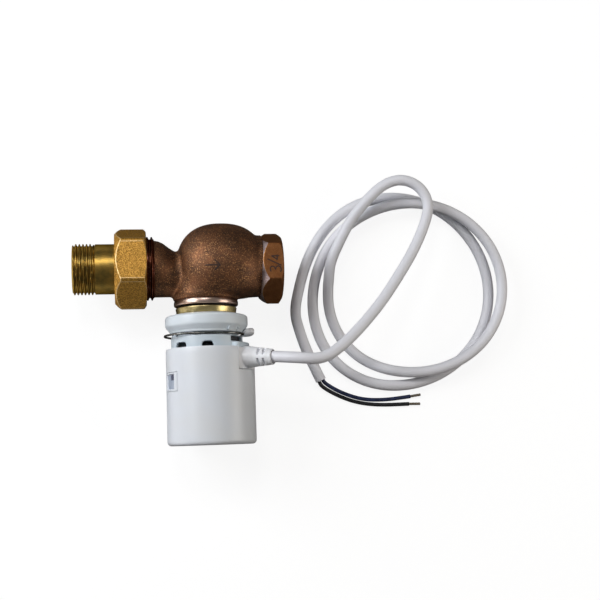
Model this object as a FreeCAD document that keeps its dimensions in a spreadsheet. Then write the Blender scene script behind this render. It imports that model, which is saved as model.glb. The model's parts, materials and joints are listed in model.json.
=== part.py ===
import FreeCAD, Part
import Sketcher
import math
import os

# Thermoelectric valve, lying on its side on a flat surface: a bronze globe valve with a union tail, and a
# normally closed wax actuator clipped under its bonnet, with a two-core cord that ends in stripped cores.
# Millimetres. +X runs along the pipe from the union tail to the hexagon end, -Y along the spindle towards the
# actuator's closed end, +Z up. Every piece is drawn about the valve's centre, where the pipe axis meets the
# spindle axis, and is then moved by one placement into the part's frame. "Depth" is the distance from the
# pipe axis along -Y.

os.makedirs("parts", exist_ok=True)
Vec = FreeCAD.Vector
doc = FreeCAD.newDocument("thermoelectric_valve")

# Driving sizes

SIZES = (
    # cast body
    ("globe_radius", 23.4),
    ("globe_left", 15.1),
    ("body_wall", 3.6),
    ("belly_depth", 15.3),
    ("waist_radius", 11.9),
    ("waist_drop", 3.1),
    ("waist_inset", 0.4),
    ("waist_length", 11.1),
    ("spigot_radius", 14.7),
    ("union_thread_length", 10.8),
    ("union_thread_radius", 16.62),
    ("union_thread_pitch", 2.309),
    ("union_thread_deep", 1.35),
    ("water_bore", 9.6),
    ("boss_radius", 17.4),
    ("boss_taper", 0.8),
    ("boss_rise", 1.9),
    # hexagon end
    ("hex_length", 11.1),
    ("hex_overlap", 3.1),
    ("hex_flats", 34.2),
    ("hex_turn", -5.0),
    ("hex_chamfer", 1.7),
    ("shoulder_length", 4.2),
    ("shoulder_radius", 16.2),
    ("pipe_thread_radius", 13.22),
    ("pipe_thread_pitch", 1.814),
    ("pipe_thread_deep", 1.16),
    ("socket_length", 14.6),
    # seat and partition
    ("partition_wall", 3.0),
    ("partition_rise", 0.5),
    ("partition_inset", 0.3),
    ("partition_reach", 5.0),
    ("seat_bore", 7.0),
    ("seat_outer", 9.0),
    # union
    ("tail_reach", 30.8),
    ("tail_thread_length", 11.6),
    ("tail_radius", 13.0),
    ("tail_relief", 0.7),
    ("relief_length", 0.4),
    ("gasket_thickness", 2.0),
    ("tail_flange_thickness", 4.0),
    ("tail_flange_radius", 14.8),
    ("nut_length", 16.2),
    ("nut_lip", 3.4),
    ("nut_flats", 38.0),
    ("nut_turn", -8.0),
    ("nut_chamfer_left", 3.6),
    ("nut_chamfer_right", 1.5),
    ("running_gap", 0.06),
    ("loose_gap", 0.3),
    # bonnet, gland and spindle
    ("bonnet_sink", 5.7),
    ("boss_wall", 4.4),
    ("bonnet_wall", 1.8),
    ("bonnet_cavity", 7.0),
    ("collar_height", 2.8),
    ("groove_step", 0.7),
    ("groove_height", 1.3),
    ("neck_step", 0.2),
    ("neck_height", 4.1),
    ("neck_thread_radius", 15.0),
    ("neck_thread_pitch", 1.5),
    ("neck_thread_deep", 0.8),
    ("neck_thread_length", 5.6),
    ("seal_inset", 2.4),
    ("seal_height", 1.8),
    ("seal_width", 1.1),
    ("gland_place", 6.8),
    ("gland_height", 6.0),
    ("gland_ring", 0.93),
    ("spindle_radius", 2.5),
    ("spindle_reach", 15.8),
    ("stud_radius", 1.6),
    ("disc_lap", 0.6),
    ("disc_seal_height", 2.0),
    ("disc_height", 3.2),
    ("disc_nut_height", 2.2),
    ("spring_collar_drop", 0.8),
    ("spring_collar_radius", 5.6),
    ("spring_collar_height", 1.2),
    ("return_spring_radius", 4.5),
    ("return_spring_wire", 0.5),
    ("return_spring_turns", 4),
    # coupling ring and clip
    ("ring_flare", 2.6),
    ("ring_shoulder", 1.7),
    ("ring_side", 4.6),
    ("ring_lip", 2.2),
    ("ring_drop", 17.5),
    ("sleeve_wall", 1.6),
    ("sleeve_step", 3.0),
    ("clip_groove_deep", 0.8),
    ("clip_groove_height", 1.8),
    ("sleeve_length", 3.7),
    ("clip_wire", 0.55),
    ("clip_bow", 3.8),
    ("clip_toe", 2.3),
    ("clip_shoulder", 4.2),
    ("button_length", 6.0),
    ("button_height", 4.2),
    ("button_width", 9.0),
    ("button_drop", 0.05),
    ("button_gap", 0.55),
    # actuator base
    ("base_drop", 1.9),
    ("base_wall", 1.6),
    ("socket_deep", 2.0),
    ("base_plate_thickness", 1.1),
    ("base_hole", 9.4),
    ("flange_gap", 0.1),
    ("base_flange_height", 2.5),
    ("window_width", 6.3),
    ("window_turn", -2.5),
    ("window_step", 47.5),
    ("window_count", 6),
    ("window_height", 2.6),
    ("slot_width", 6.2),
    ("slot_turn", 47.0),
    ("pillar_inset", 5.0),
    ("pillar_width", 5.0),
    ("post_width", 12.0),
    # housing
    ("base_step", 1.2),
    ("housing_offset", 1.5),
    ("housing_wall", 1.7),
    ("housing_drop", 4.1),
    ("housing_room", 40.0),
    ("housing_round", 2.0),
    ("lens_width", 13.0),
    ("lens_drop", 12.0),
    ("lens_height", 9.9),
    ("lens_turn", -65.0),
    # wax drive
    ("bridge_drop", 4.3),
    ("bridge_height", 3.0),
    ("bridge_width", 5.0),
    ("screw_radius", 1.4),
    ("screw_grip", 3.0),
    ("screw_head_height", 1.5),
    ("piston_radius", 1.9),
    ("piston_length", 14.5),
    ("foot_radius", 6.0),
    ("foot_height", 2.0),
    ("stem_radius", 4.0),
    ("crosshead_drop", 1.4),
    ("crosshead_height", 2.5),
    ("crosshead_gap", 0.8),
    ("leg_thickness", 2.4),
    ("leg_width", 6.0),
    ("carrier_drop", 5.0),
    ("carrier_inset", 3.0),
    ("carrier_flange_height", 2.0),
    ("carrier_step", 2.4),
    ("carrier_wall", 1.2),
    ("element_length", 15.0),
    ("element_neck", 4.6),
    ("heater_height", 2.4),
    ("contact_spring_height", 3.6),
    ("spring_inset", 2.5),
    ("main_spring_wire", 0.9),
    ("main_spring_turns", 6),
    ("spring_cap_height", 0.8),
    # cord
    ("gate_turn", 60.0),
    ("gate_inset", 2.05),
    ("gate_width", 19.4),
    ("gate_margin", 6.6),
    ("boot_plate", 1.6),
    ("boot_drop", 5.2),
    ("boot_swell", 1.3),
    ("boot_wall", 1.0),
    ("boot_length", 15.6),
    ("clamp_half_width", 6.0),
    ("clamp_thickness", 4.2),
    ("tab_length", 5.0),
    ("tab_width", 3.0),
    ("tab_thickness", 0.8),
    ("tab_place", 3.6),
    ("cord_diameter", 5.8),
    ("core_diameter", 2.1),
    ("tip_diameter", 1.4),
)

# Sizes that follow from the driving ones: along the pipe from the globe, across from the boss and the neck's
# thread outwards, and down the spindle from the belly, so that pieces that meet keep together

FOLLOWING = (
    ("globe_offset", "globe_radius - globe_left"),
    ("waist_place", "globe_left + waist_inset"),
    ("union_thread_end", "waist_place + waist_length"),
    ("union_face", "union_thread_end + union_thread_length"),
    ("tail_end", "union_face + tail_reach"),
    ("hex_start", "globe_offset + globe_radius - hex_overlap"),
    ("hex_end", "hex_start + hex_length"),
    ("partition_left", "globe_left - body_wall - partition_inset"),
    ("partition_right", "globe_offset + partition_reach"),
    ("disc_radius", "seat_outer + disc_lap"),
    ("bonnet_radius", "boss_radius - boss_wall"),
    ("collar_radius", "boss_radius - boss_taper"),
    ("groove_radius", "neck_thread_radius - groove_step"),
    ("neck_radius", "neck_thread_radius + neck_step"),
    ("sleeve_radius", "neck_thread_radius + sleeve_wall"),
    ("sleeve_bore", "neck_thread_radius - sleeve_step"),
    ("clip_groove_radius", "sleeve_radius - clip_groove_deep"),
    ("ring_bottom_radius", "sleeve_radius + ring_lip"),
    ("ring_radius", "ring_bottom_radius + ring_flare"),
    ("base_radius", "sleeve_radius + loose_gap + base_wall"),
    ("pillar_place", "base_radius - pillar_inset"),
    ("clip_reach", "base_radius + clip_bow"),
    ("housing_radius", "base_radius + base_step + housing_offset + housing_wall"),
    ("base_flange_radius", "housing_radius - housing_wall - flange_gap"),
    ("crosshead_radius", "base_hole - crosshead_gap"),
    ("carrier_flange", "base_radius - carrier_inset"),
    ("main_spring_radius", "carrier_flange - spring_inset"),
    ("carrier_radius", "main_spring_radius - carrier_step"),
    ("gate_flat", "housing_radius - gate_inset"),
    ("boot_tip_radius", "cord_diameter / 2 + boot_wall"),
    ("boot_root_radius", "boot_tip_radius + boot_swell"),
    ("bonnet_start", "belly_depth - bonnet_sink"),
    ("boss_end", "belly_depth + boss_rise"),
    ("seal_start", "boss_end - seal_inset"),
    ("gland_start", "boss_end + gland_place"),
    ("spindle_end", "boss_end + spindle_reach"),
    ("spring_collar_place", "boss_end + spring_collar_drop"),
    ("ring_bottom", "boss_end + ring_drop"),
    ("sleeve_end", "ring_bottom + sleeve_length"),
    ("clip_depth", "ring_bottom + clip_groove_height / 2"),
    ("button_depth", "ring_bottom + button_drop"),
    ("base_top", "ring_bottom + base_drop"),
    ("base_plate", "base_top + socket_deep"),
    ("crosshead_top", "base_plate + crosshead_drop"),
    ("housing_top", "base_plate + housing_drop"),
    ("lens_top", "housing_top + lens_drop"),
    ("boot_depth", "housing_top + boot_drop"),
    ("gate_height", "boot_drop + gate_margin"),
    ("bridge_top", "housing_top + bridge_drop"),
    ("carrier_top", "bridge_top + carrier_drop"),
    ("housing_end", "carrier_top + housing_room"),
)

sheet = doc.addObject("Spreadsheet::Sheet", "sizes")
for row, (alias, number) in enumerate(SIZES, start=1):
    sheet.set(f"A{row}", str(number))
    sheet.setAlias(f"A{row}", alias)
for row, (alias, text) in enumerate(FOLLOWING, start=1):
    sheet.set(f"B{row}", "=" + text)
    sheet.setAlias(f"B{row}", alias)
doc.recompute()


class Length:
    """A size with the sheet expression that gives it, so that sums of sizes stay bound to the sheet."""

    def __init__(self, value, text):
        self.value = float(value)
        self.text = text

    def __add__(self, other):
        other = length(other)
        return Length(self.value + other.value, f"({self.text} + {other.text})")

    def __sub__(self, other):
        other = length(other)
        return Length(self.value - other.value, f"({self.text} - {other.text})")

    def __mul__(self, other):
        other = length(other)
        return Length(self.value * other.value, f"({self.text} * {other.text})")

    def __neg__(self):
        return Length(-self.value, f"(0 - {self.text})")


def length(value):
    """A plain number as a Length; a Length as it is."""
    if isinstance(value, Length):
        return value
    return Length(value, f"({float(value):.9f})")


class Sizes:
    """Reads the sheet: size.tail_end is the cell with that alias, as a Length."""

    def __getattr__(self, alias):
        return Length(getattr(sheet, alias), f"sizes.{alias}")


size = Sizes()

# Where the part's frame lies: under the middle of the object's box, on the surface that it rests on
FRAME_X = (size.tail_end - size.hex_end) * 0.5
FRAME_Y = (size.housing_end - size.globe_radius) * 0.5
FRAME_Z = size.globe_radius

FULL_TURN = 360.0
EPSILON = 0.01

nodes = []


def bind(obj, prop, value):
    """Sets a property of an object now and ties it to the sheet."""
    obj.setExpression(prop, length(value).text)


def piece(obj, label):
    """Names an object as a finished sub-part and moves it into the part's frame."""
    obj.Label = label
    bind(obj, "Placement.Base.x", FRAME_X)
    bind(obj, "Placement.Base.y", FRAME_Y)
    bind(obj, "Placement.Base.z", FRAME_Z)
    nodes.append(obj)
    return obj


def origin_plane(body, role):
    """The plane with this role among the body's own origin planes."""
    return next(feature for feature in body.Origin.OriginFeatures if feature.Role == role)


def outline_sketch(body, name, role, points):
    """A closed polygon on one of the body's origin planes, each corner tied to the sheet."""
    sketch = body.newObject("Sketcher::SketchObject", name)
    sketch.AttachmentSupport = [(origin_plane(body, role), "")]
    sketch.MapMode = "FlatFace"
    corners = [(length(a), length(b)) for a, b in points]
    count = len(corners)
    for index in range(count):
        here = corners[index]
        after = corners[(index + 1) % count]
        start = Vec(here[0].value, here[1].value, 0)
        end = Vec(after[0].value, after[1].value, 0)
        sketch.addGeometry(Part.LineSegment(start, end), False)
    for index in range(count):
        sketch.addConstraint(Sketcher.Constraint("Coincident", index, 2, (index + 1) % count, 1))
    for index, (across, up) in enumerate(corners):
        for kind, value in (("DistanceX", across), ("DistanceY", up)):
            mark = sketch.addConstraint(Sketcher.Constraint(kind, -1, 1, index, 1, value.value))
            sketch.setExpression(f"Constraints[{mark}]", value.text)
    return sketch


def turned(name, points, axis):
    """A body turned about the sketch's H_Axis (the pipe) or V_Axis (the spindle)."""
    body = doc.addObject("PartDesign::Body", name)
    sketch = outline_sketch(body, name + "_outline", "XY_Plane", points)
    turn = body.newObject("PartDesign::Revolution", name + "_turn")
    turn.Profile = sketch
    turn.ReferenceAxis = (sketch, [axis])
    turn.Angle = FULL_TURN
    return body


def turned_on_spindle(name, points):
    """A body turned about the spindle axis, from corners given as radius and depth."""
    return turned(name, [(radius, -length(depth)) for radius, depth in points], "V_Axis")


def turned_on_pipe(name, points):
    """A body turned about the pipe axis, from corners given as place along +X and radius."""
    return turned(name, points, "H_Axis")


def hexagon(name, flats, turn, start, end):
    """A hexagonal bar along +X; turn is the angle of one corner from +Y towards +Z, in degrees."""
    body = doc.addObject("PartDesign::Body", name)
    corner = length(flats) * (0.5 / math.cos(math.pi / 6))
    points = []
    for index in range(6):
        angle = math.radians(turn.value + 60 * index)
        points.append((corner * math.cos(angle), corner * math.sin(angle)))
    sketch = outline_sketch(body, name + "_outline", "YZ_Plane", points)
    pad = body.newObject("PartDesign::Pad", name + "_pad")
    pad.Profile = sketch
    bind(pad, "Length", length(end) - start)
    bind(body, "Placement.Base.x", start)
    return body


def box(name, low, high, turn=0.0):
    """A box between two corners given as X, depth and Z, turned about the spindle axis from +Z towards +X."""
    block = doc.addObject("Part::Box", name)
    wide = length(high[0]) - low[0]
    deep = length(high[1]) - low[1]
    tall = length(high[2]) - low[2]
    bind(block, "Length", wide)
    bind(block, "Width", deep)
    bind(block, "Height", tall)
    angle = math.radians(turn)
    block.Placement = FreeCAD.Placement(Vec(), FreeCAD.Rotation(Vec(0, 1, 0), turn))
    across = length(low[0])
    up = length(low[2])
    bind(block, "Placement.Base.x", across * math.cos(angle) + up * math.sin(angle))
    bind(block, "Placement.Base.y", -length(high[1]))
    bind(block, "Placement.Base.z", up * math.cos(angle) - across * math.sin(angle))
    return block


def rod(name, radius, start, end, place=0.0):
    """A round bar parallel to the spindle axis, from one depth to another, at a place along +X."""
    bar = doc.addObject("Part::Cylinder", name)
    bind(bar, "Radius", radius)
    bind(bar, "Height", length(end) - start)
    bar.Placement = FreeCAD.Placement(Vec(), FreeCAD.Rotation(Vec(1, 0, 0), 90))
    bind(bar, "Placement.Base.x", place)
    bind(bar, "Placement.Base.y", -length(start))
    return bar


def pipe_rod(name, radius, start, end, drop=0.0):
    """A round bar parallel to the pipe axis, from one X to another, lowered by a depth."""
    bar = doc.addObject("Part::Cylinder", name)
    bind(bar, "Radius", radius)
    bind(bar, "Height", length(end) - start)
    bar.Placement = FreeCAD.Placement(Vec(), FreeCAD.Rotation(Vec(0, 1, 0), 90))
    bind(bar, "Placement.Base.x", start)
    bind(bar, "Placement.Base.y", -length(drop))
    return bar


def ball(name, radius):
    """A ball centred on the globe."""
    globe = doc.addObject("Part::Sphere", name)
    bind(globe, "Radius", radius)
    bind(globe, "Placement.Base.x", size.globe_offset)
    return globe


def fused(name, objects):
    """The union of several objects."""
    result = doc.addObject("Part::MultiFuse", name)
    result.Shapes = objects
    result.Refine = True
    return result


def cut(name, base, tool):
    """One object with another taken away."""
    result = doc.addObject("Part::Cut", name)
    result.Base = base
    result.Tool = tool
    return result


def common(name, first, second):
    """What two objects share."""
    result = doc.addObject("Part::Common", name)
    result.Base = first
    result.Tool = second
    return result


def ring_thread(start, end, crest, deep, pitch):
    """Corners of a thread drawn as rings: (place, radius) pairs of flat crests and roots, from start to end."""
    start, end, crest, pitch = length(start), length(end), length(crest), length(pitch)
    root = crest - deep
    rings = int(abs(end.value - start.value) / pitch.value + EPSILON)
    forward = 1 if end.value > start.value else -1
    corners = []
    for ring in range(rings):
        for quarter, radius in enumerate((crest, crest, root, root)):
            corners.append((start + pitch * (forward * (ring + quarter / 4)), radius))
    corners.append((start + pitch * (forward * rings), crest))
    return corners


def loft_circles(name, circles):
    """A ruled loft through circles square to the pipe, each given as place, depth of centre and radius."""
    sections = []
    for index, (place, drop, radius) in enumerate(circles):
        circle = doc.addObject("Part::Circle", f"{name}_{index}")
        bind(circle, "Radius", radius)
        circle.Placement = FreeCAD.Placement(Vec(), FreeCAD.Rotation(Vec(0, 1, 0), 90))
        bind(circle, "Placement.Base.x", place)
        bind(circle, "Placement.Base.y", -length(drop))
        sections.append(circle)
    loft = doc.addObject("Part::Loft", name)
    loft.Sections = sections
    loft.Solid = True
    loft.Ruled = True
    return loft


# Tubes along a path: straight runs joined by tangent arcs, and turns made of pairs of arcs

def tangent_arc(start, tangent, end):
    """The arc that leaves start along tangent and ends at end."""
    chord = end - start
    along = Vec(chord)
    along.normalize()
    sine = tangent.cross(along).Length
    if sine < 1e-7:
        return Part.LineSegment(start, end).toShape()
    half = math.atan2(sine, tangent.dot(along))
    bulge = tangent - along * tangent.dot(along)
    bulge.normalize()
    middle = (start + end) * 0.5 + bulge * (chord.Length * 0.5 * math.tan(half / 2))
    return Part.Arc(start, middle, end).toShape()


def arc_pair(start, start_tangent, end, end_tangent):
    """Two arcs that join two points with their tangents and share a tangent where they meet."""
    chord = end - start
    both = start_tangent + end_tangent
    spread = 2 * (1 - start_tangent.dot(end_tangent))
    reach = chord.dot(both)
    if spread < 1e-9:
        step = chord.dot(chord) / (2 * reach)
    else:
        step = (math.sqrt(reach * reach + spread * chord.dot(chord)) - reach) / spread
    joint = (start + start_tangent * step + end - end_tangent * step) * 0.5
    back = tangent_arc(end, end_tangent * -1, joint)
    back.reverse()
    return [tangent_arc(start, start_tangent, joint), back]


def rounded_runs(points):
    """Edges of straight runs joined by arcs, each as large as its two runs allow, and the arcs' radii."""
    edges = []
    radii = []
    here = points[0]
    for before, corner, after in zip(points, points[1:], points[2:]):
        into = corner - before
        out = after - corner
        reach = 0.45 * min(into.Length, out.Length)
        into.normalize()
        out.normalize()
        start = corner - into * reach
        end = corner + out * reach
        half_turn = into.getAngle(out) / 2
        radii.append(reach / math.tan(half_turn))
        edges.append(Part.LineSegment(here, start).toShape())
        edges.append(tangent_arc(start, into, end))
        here = end
    edges.append(Part.LineSegment(here, points[-1]).toShape())
    return edges, radii


def tube_shape(edges, radius):
    """A round tube of one section carried along a path of edges."""
    path = Part.Wire(edges)
    first = path.OrderedEdges[0]
    start = first.valueAt(first.FirstParameter)
    tangent = first.tangentAt(first.FirstParameter)
    section = Part.Wire([Part.makeCircle(radius, start, tangent)])
    return path.makePipeShell([section], True, False)


def shape_object(label, shape):
    """A sub-part whose shape is worked out here from the sheet's sizes."""
    obj = doc.addObject("Part::Feature", label)
    obj.Shape = shape
    return obj


def spring_shape(mean_radius, wire_radius, first_depth, last_depth, turns):
    """A coil spring about the spindle axis, from one depth of the wire's centre to another."""
    drop = last_depth - first_depth
    steps = int(turns * 4)

    def at(step):
        angle = step * math.pi / 2
        return Vec(mean_radius * math.cos(angle), -(first_depth + drop * step / steps), mean_radius * math.sin(angle))

    def along(step):
        angle = step * math.pi / 2
        climb = -drop / steps / (math.pi / 2)
        heading = Vec(-mean_radius * math.sin(angle), climb, mean_radius * math.cos(angle))
        heading.normalize()
        return heading

    edges = []
    for step in range(steps):
        edges += arc_pair(at(step), along(step), at(step + 1), along(step + 1))
    return tube_shape(edges, wire_radius)


# Valve body: cast globe with a dropped waist, union spigot, bonnet boss, hexagon end and seat partition

floor_box = box(
    "body_floor_box",
    (-size.union_face, -(size.globe_radius + 1), -(size.globe_radius + 1)),
    (size.hex_end, size.belly_depth, size.globe_radius + 1),
)
globe = ball("globe_ball", size.globe_radius)
right_neck = pipe_rod("right_neck", size.shoulder_radius, size.globe_offset, size.hex_start + 2)
upper_form = common("upper_form", fused("globe_and_neck", [globe, right_neck]), floor_box)
left_neck = loft_circles(
    "left_neck",
    (
        (-size.union_thread_end, 0.0, size.spigot_radius),
        (-size.waist_place, size.waist_drop, size.waist_radius),
    ),
)
waist_rod = pipe_rod("waist_rod", size.waist_radius, -size.waist_place, 0.0, size.waist_drop)
spigot = turned_on_pipe(
    "spigot",
    [(-size.union_face, 0.0)]
    + ring_thread(
        -size.union_face,
        -size.union_thread_end,
        size.union_thread_radius,
        size.union_thread_deep,
        size.union_thread_pitch,
    )
    + [(-size.union_thread_end, size.spigot_radius), (-size.union_thread_end, 0.0)],
)
boss = turned_on_spindle(
    "boss",
    [
        (0.0, size.bonnet_start),
        (size.boss_radius, size.bonnet_start),
        (size.boss_radius, size.belly_depth),
        (size.boss_radius - size.boss_taper, size.boss_end),
        (0.0, size.boss_end),
    ],
)
hex_corner = size.hex_flats * (0.5 / math.cos(math.pi / 6))
hex_bar = hexagon("hex_bar", size.hex_flats, size.hex_turn, size.hex_start, size.hex_end)
hex_envelope = turned_on_pipe(
    "hex_envelope",
    [
        (size.hex_start, 0.0),
        (size.hex_start, size.shoulder_radius),
        (size.hex_start + size.shoulder_length, hex_corner),
        (size.hex_end - size.hex_chamfer, hex_corner),
        (size.hex_end, size.hex_flats * 0.5),
        (size.hex_end, 0.0),
    ],
)
hex_form = common("hex_form", hex_bar, hex_envelope)
outside = fused("body_outside", [upper_form, left_neck, waist_rod, spigot, boss, hex_form])

chamber_radius = size.globe_radius - size.body_wall
chamber_floor = size.belly_depth - size.body_wall * 0.9
partition_top = size.partition_rise + size.partition_wall
reach = size.globe_radius
chamber = common(
    "chamber",
    ball("chamber_ball", chamber_radius),
    box("chamber_box", (-reach, -reach, -reach), (reach + size.globe_offset, chamber_floor, reach)),
)
partition = fused(
    "partition",
    [
        box("seat_plate", (-size.partition_left, -partition_top, -reach),
            (size.partition_right + size.partition_wall, -size.partition_rise, reach)),
        box("left_leg", (-size.partition_left, -reach, -reach),
            (size.partition_wall - size.partition_left, -size.partition_rise, reach)),
        box("right_leg", (size.partition_right, -partition_top, -reach),
            (size.partition_right + size.partition_wall, reach, reach)),
    ],
)
hollow = cut("hollow", chamber, partition)
waist_bore = size.waist_radius - size.body_wall
water_way = fused(
    "water_way",
    [
        hollow,
        pipe_rod("spigot_bore", size.water_bore, -(size.union_face + 1), -size.union_thread_end),
        loft_circles(
            "waist_passage",
            (
                (-size.union_thread_end, 0.0, size.water_bore),
                (-size.waist_place, size.waist_drop, waist_bore),
            ),
        ),
        common(
            "waist_bore",
            pipe_rod("waist_bore_rod", waist_bore, -size.waist_place, -size.seat_bore, size.waist_drop),
            box("waist_bore_box", (-size.waist_place, -size.partition_rise, -reach), (0.0, reach, reach)),
        ),
        pipe_rod("waist_mouth", waist_bore, -size.waist_place, -size.partition_left, size.waist_drop),
        turned_on_pipe(
            "socket_thread",
            [(size.partition_right + size.partition_wall, 0.0)]
            + [(size.partition_right + size.partition_wall, size.water_bore)]
            + [(size.hex_end - size.socket_length, size.water_bore)]
            + ring_thread(
                size.hex_end - size.socket_length,
                size.hex_end,
                size.pipe_thread_radius,
                size.pipe_thread_deep,
                size.pipe_thread_pitch,
            )
            + [(size.hex_end + 1, size.pipe_thread_radius), (size.hex_end + 1, 0.0)],
        ),
        rod("bonnet_bore", size.bonnet_radius + size.running_gap, size.bonnet_start, size.boss_end + 1),
        rod("seat_hole", size.seat_outer, -(partition_top + 1), 0.0),
    ],
)
piece(cut("valve_body", outside, water_way), "valve_body")

piece(
    turned_on_spindle(
        "seat_ring",
        [
            (size.seat_bore, -partition_top),
            (size.seat_outer, -partition_top),
            (size.seat_outer, 0.0),
            (size.seat_bore, 0.0),
        ],
    ),
    "seat_ring",
)

# Union: gasket, tailpiece with the male pipe thread, and the hexagon nut that holds its flange

flange_right = -(size.union_face + size.gasket_thickness)
flange_left = flange_right - size.tail_flange_thickness
piece(
    turned_on_pipe(
        "union_gasket",
        [
            (flange_right, size.water_bore + 0.9),
            (flange_right, size.tail_flange_radius),
            (-size.union_face, size.tail_flange_radius),
            (-size.union_face, size.water_bore + 0.9),
        ],
    ),
    "union_gasket",
)
thread_stop = size.tail_thread_length - size.tail_end
tail_outline = [(-size.tail_end, size.water_bore)]
tail_outline += ring_thread(
    -size.tail_end, thread_stop, size.pipe_thread_radius, size.pipe_thread_deep, size.pipe_thread_pitch
)
tail_outline += [
    (thread_stop, size.tail_radius - size.tail_relief),
    (thread_stop + size.relief_length, size.tail_radius - size.tail_relief),
    (thread_stop + size.relief_length, size.tail_radius),
    (flange_left, size.tail_radius),
    (flange_left, size.tail_flange_radius),
    (flange_right, size.tail_flange_radius),
    (flange_right, size.water_bore),
]
piece(turned_on_pipe("tailpiece", tail_outline), "tailpiece")

nut_left = flange_left - size.running_gap - size.nut_lip
nut_right = nut_left + size.nut_length
nut_corner = size.nut_flats * (0.5 / math.cos(math.pi / 6))
nut_root = size.union_thread_radius + size.running_gap
nut_outside = common(
    "nut_outside",
    hexagon("nut_bar", size.nut_flats, size.nut_turn, nut_left, nut_right),
    turned_on_pipe(
        "nut_envelope",
        [
            (nut_left, 0.0),
            (nut_left, size.nut_flats * 0.5 - size.nut_chamfer_left * 0.25),
            (nut_left + size.nut_chamfer_left, nut_corner),
            (nut_right - size.nut_chamfer_right, nut_corner),
            (nut_right, size.nut_flats * 0.5),
            (nut_right, 0.0),
        ],
    ),
)
nut_inside = [(nut_left - 1, 0.0), (nut_left - 1, size.tail_radius + size.loose_gap)]
nut_inside += [(nut_left + size.nut_lip, size.tail_radius + size.loose_gap)]
nut_inside += [(nut_left + size.nut_lip, nut_root)]
nut_inside += ring_thread(
    -size.union_face, nut_right, nut_root, size.union_thread_deep, size.union_thread_pitch
)
nut_inside += [(nut_right + 1, nut_root), (nut_right + 1, 0.0)]
piece(cut("union_nut", nut_outside, turned_on_pipe("nut_inside", nut_inside)), "union_nut")

# Bonnet with its seals, the gland round the spindle, and the spindle with its disc

bore = size.spindle_radius + size.running_gap
collar_end = size.boss_end + size.collar_height
groove_end = collar_end + size.groove_height
neck_thread_start = groove_end + size.neck_height
neck_end = neck_thread_start + size.neck_thread_length
seal_end = size.seal_start + size.seal_height
bonnet_outline = [
    (bore, size.bonnet_start),
    (size.bonnet_radius, size.bonnet_start),
    (size.bonnet_radius, size.seal_start),
    (size.bonnet_radius - size.seal_width, size.seal_start),
    (size.bonnet_radius - size.seal_width, seal_end),
    (size.bonnet_radius, seal_end),
    (size.bonnet_radius, size.boss_end),
    (size.collar_radius, size.boss_end),
    (size.collar_radius, collar_end - 0.7),
    (size.collar_radius - 0.7, collar_end),
    (size.groove_radius, collar_end),
    (size.groove_radius, groove_end),
    (size.neck_radius, groove_end),
    (size.neck_radius, neck_thread_start - 0.3),
]
bonnet_outline += [
    (radius, place)
    for place, radius in ring_thread(
        neck_thread_start, neck_end, size.neck_thread_radius, size.neck_thread_deep, size.neck_thread_pitch
    )
]
bonnet_outline += [
    (size.neck_thread_radius - size.neck_thread_deep, neck_end),
    (size.bonnet_cavity, neck_end),
    (size.bonnet_cavity, size.bonnet_start + size.bonnet_wall),
    (bore, size.bonnet_start + size.bonnet_wall),
]
piece(turned_on_spindle("bonnet", bonnet_outline), "bonnet")
piece(
    turned_on_spindle(
        "bonnet_seal",
        [
            (size.bonnet_radius - size.seal_width, size.seal_start),
            (size.bonnet_radius, size.seal_start),
            (size.bonnet_radius, seal_end),
            (size.bonnet_radius - size.seal_width, seal_end),
        ],
    ),
    "bonnet_seal",
)
gland_end = size.gland_start + size.gland_height
gland_middle = size.gland_start + size.gland_height * 0.5
ring_seat = bore + size.gland_ring * 2
piece(
    turned_on_spindle(
        "gland_nut",
        [
            (bore, size.gland_start),
            (size.bonnet_cavity - EPSILON, size.gland_start),
            (size.bonnet_cavity - EPSILON, gland_end - 1),
            (size.bonnet_cavity - 1, gland_end),
            (bore, gland_end),
            (bore, gland_middle + size.gland_ring),
            (ring_seat, gland_middle + size.gland_ring),
            (ring_seat, gland_middle - size.gland_ring),
            (bore, gland_middle - size.gland_ring),
        ],
    ),
    "gland_nut",
)
gland_ring = doc.addObject("Part::Torus", "gland_seal")
bind(gland_ring, "Radius1", size.spindle_radius + size.gland_ring + 0.03)
bind(gland_ring, "Radius2", size.gland_ring)
gland_ring.Placement = FreeCAD.Placement(Vec(), FreeCAD.Rotation(Vec(1, 0, 0), 90))
piece(gland_ring, "gland_seal")
bind(gland_ring, "Placement.Base.y", FRAME_Y - gland_middle)

disc_top = size.disc_seal_height
disc_end = disc_top + size.disc_height
stud_end = size.disc_nut_height + 0.4
piece(
    turned_on_spindle(
        "spindle",
        [
            (0.0, -stud_end),
            (size.stud_radius, -stud_end),
            (size.stud_radius, disc_end),
            (size.spindle_radius, disc_end),
            (size.spindle_radius, size.spindle_end - 0.8),
            (size.spindle_radius - 0.8, size.spindle_end),
            (0.0, size.spindle_end),
        ],
    ),
    "spindle",
)
seal_bore = size.disc_radius * 0.45
piece(
    turned_on_spindle(
        "valve_disc",
        [
            (size.stud_radius, EPSILON),
            (seal_bore, EPSILON),
            (seal_bore, disc_top),
            (size.disc_radius, disc_top),
            (size.disc_radius, disc_end - 0.8),
            (size.disc_radius - 0.8, disc_end),
            (size.stud_radius, disc_end),
        ],
    ),
    "valve_disc",
)
piece(
    turned_on_spindle(
        "disc_seal",
        [
            (seal_bore, EPSILON * 2),
            (size.disc_radius - 0.2, EPSILON * 2),
            (size.disc_radius - 0.2, disc_top),
            (seal_bore, disc_top),
        ],
    ),
    "disc_seal",
)
piece(
    turned_on_spindle(
        "disc_nut",
        [
            (size.stud_radius, -size.disc_nut_height),
            (size.seat_bore * 0.55, -size.disc_nut_height),
            (size.seat_bore * 0.55, EPSILON),
            (size.stud_radius, EPSILON),
        ],
    ),
    "disc_nut",
)
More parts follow.
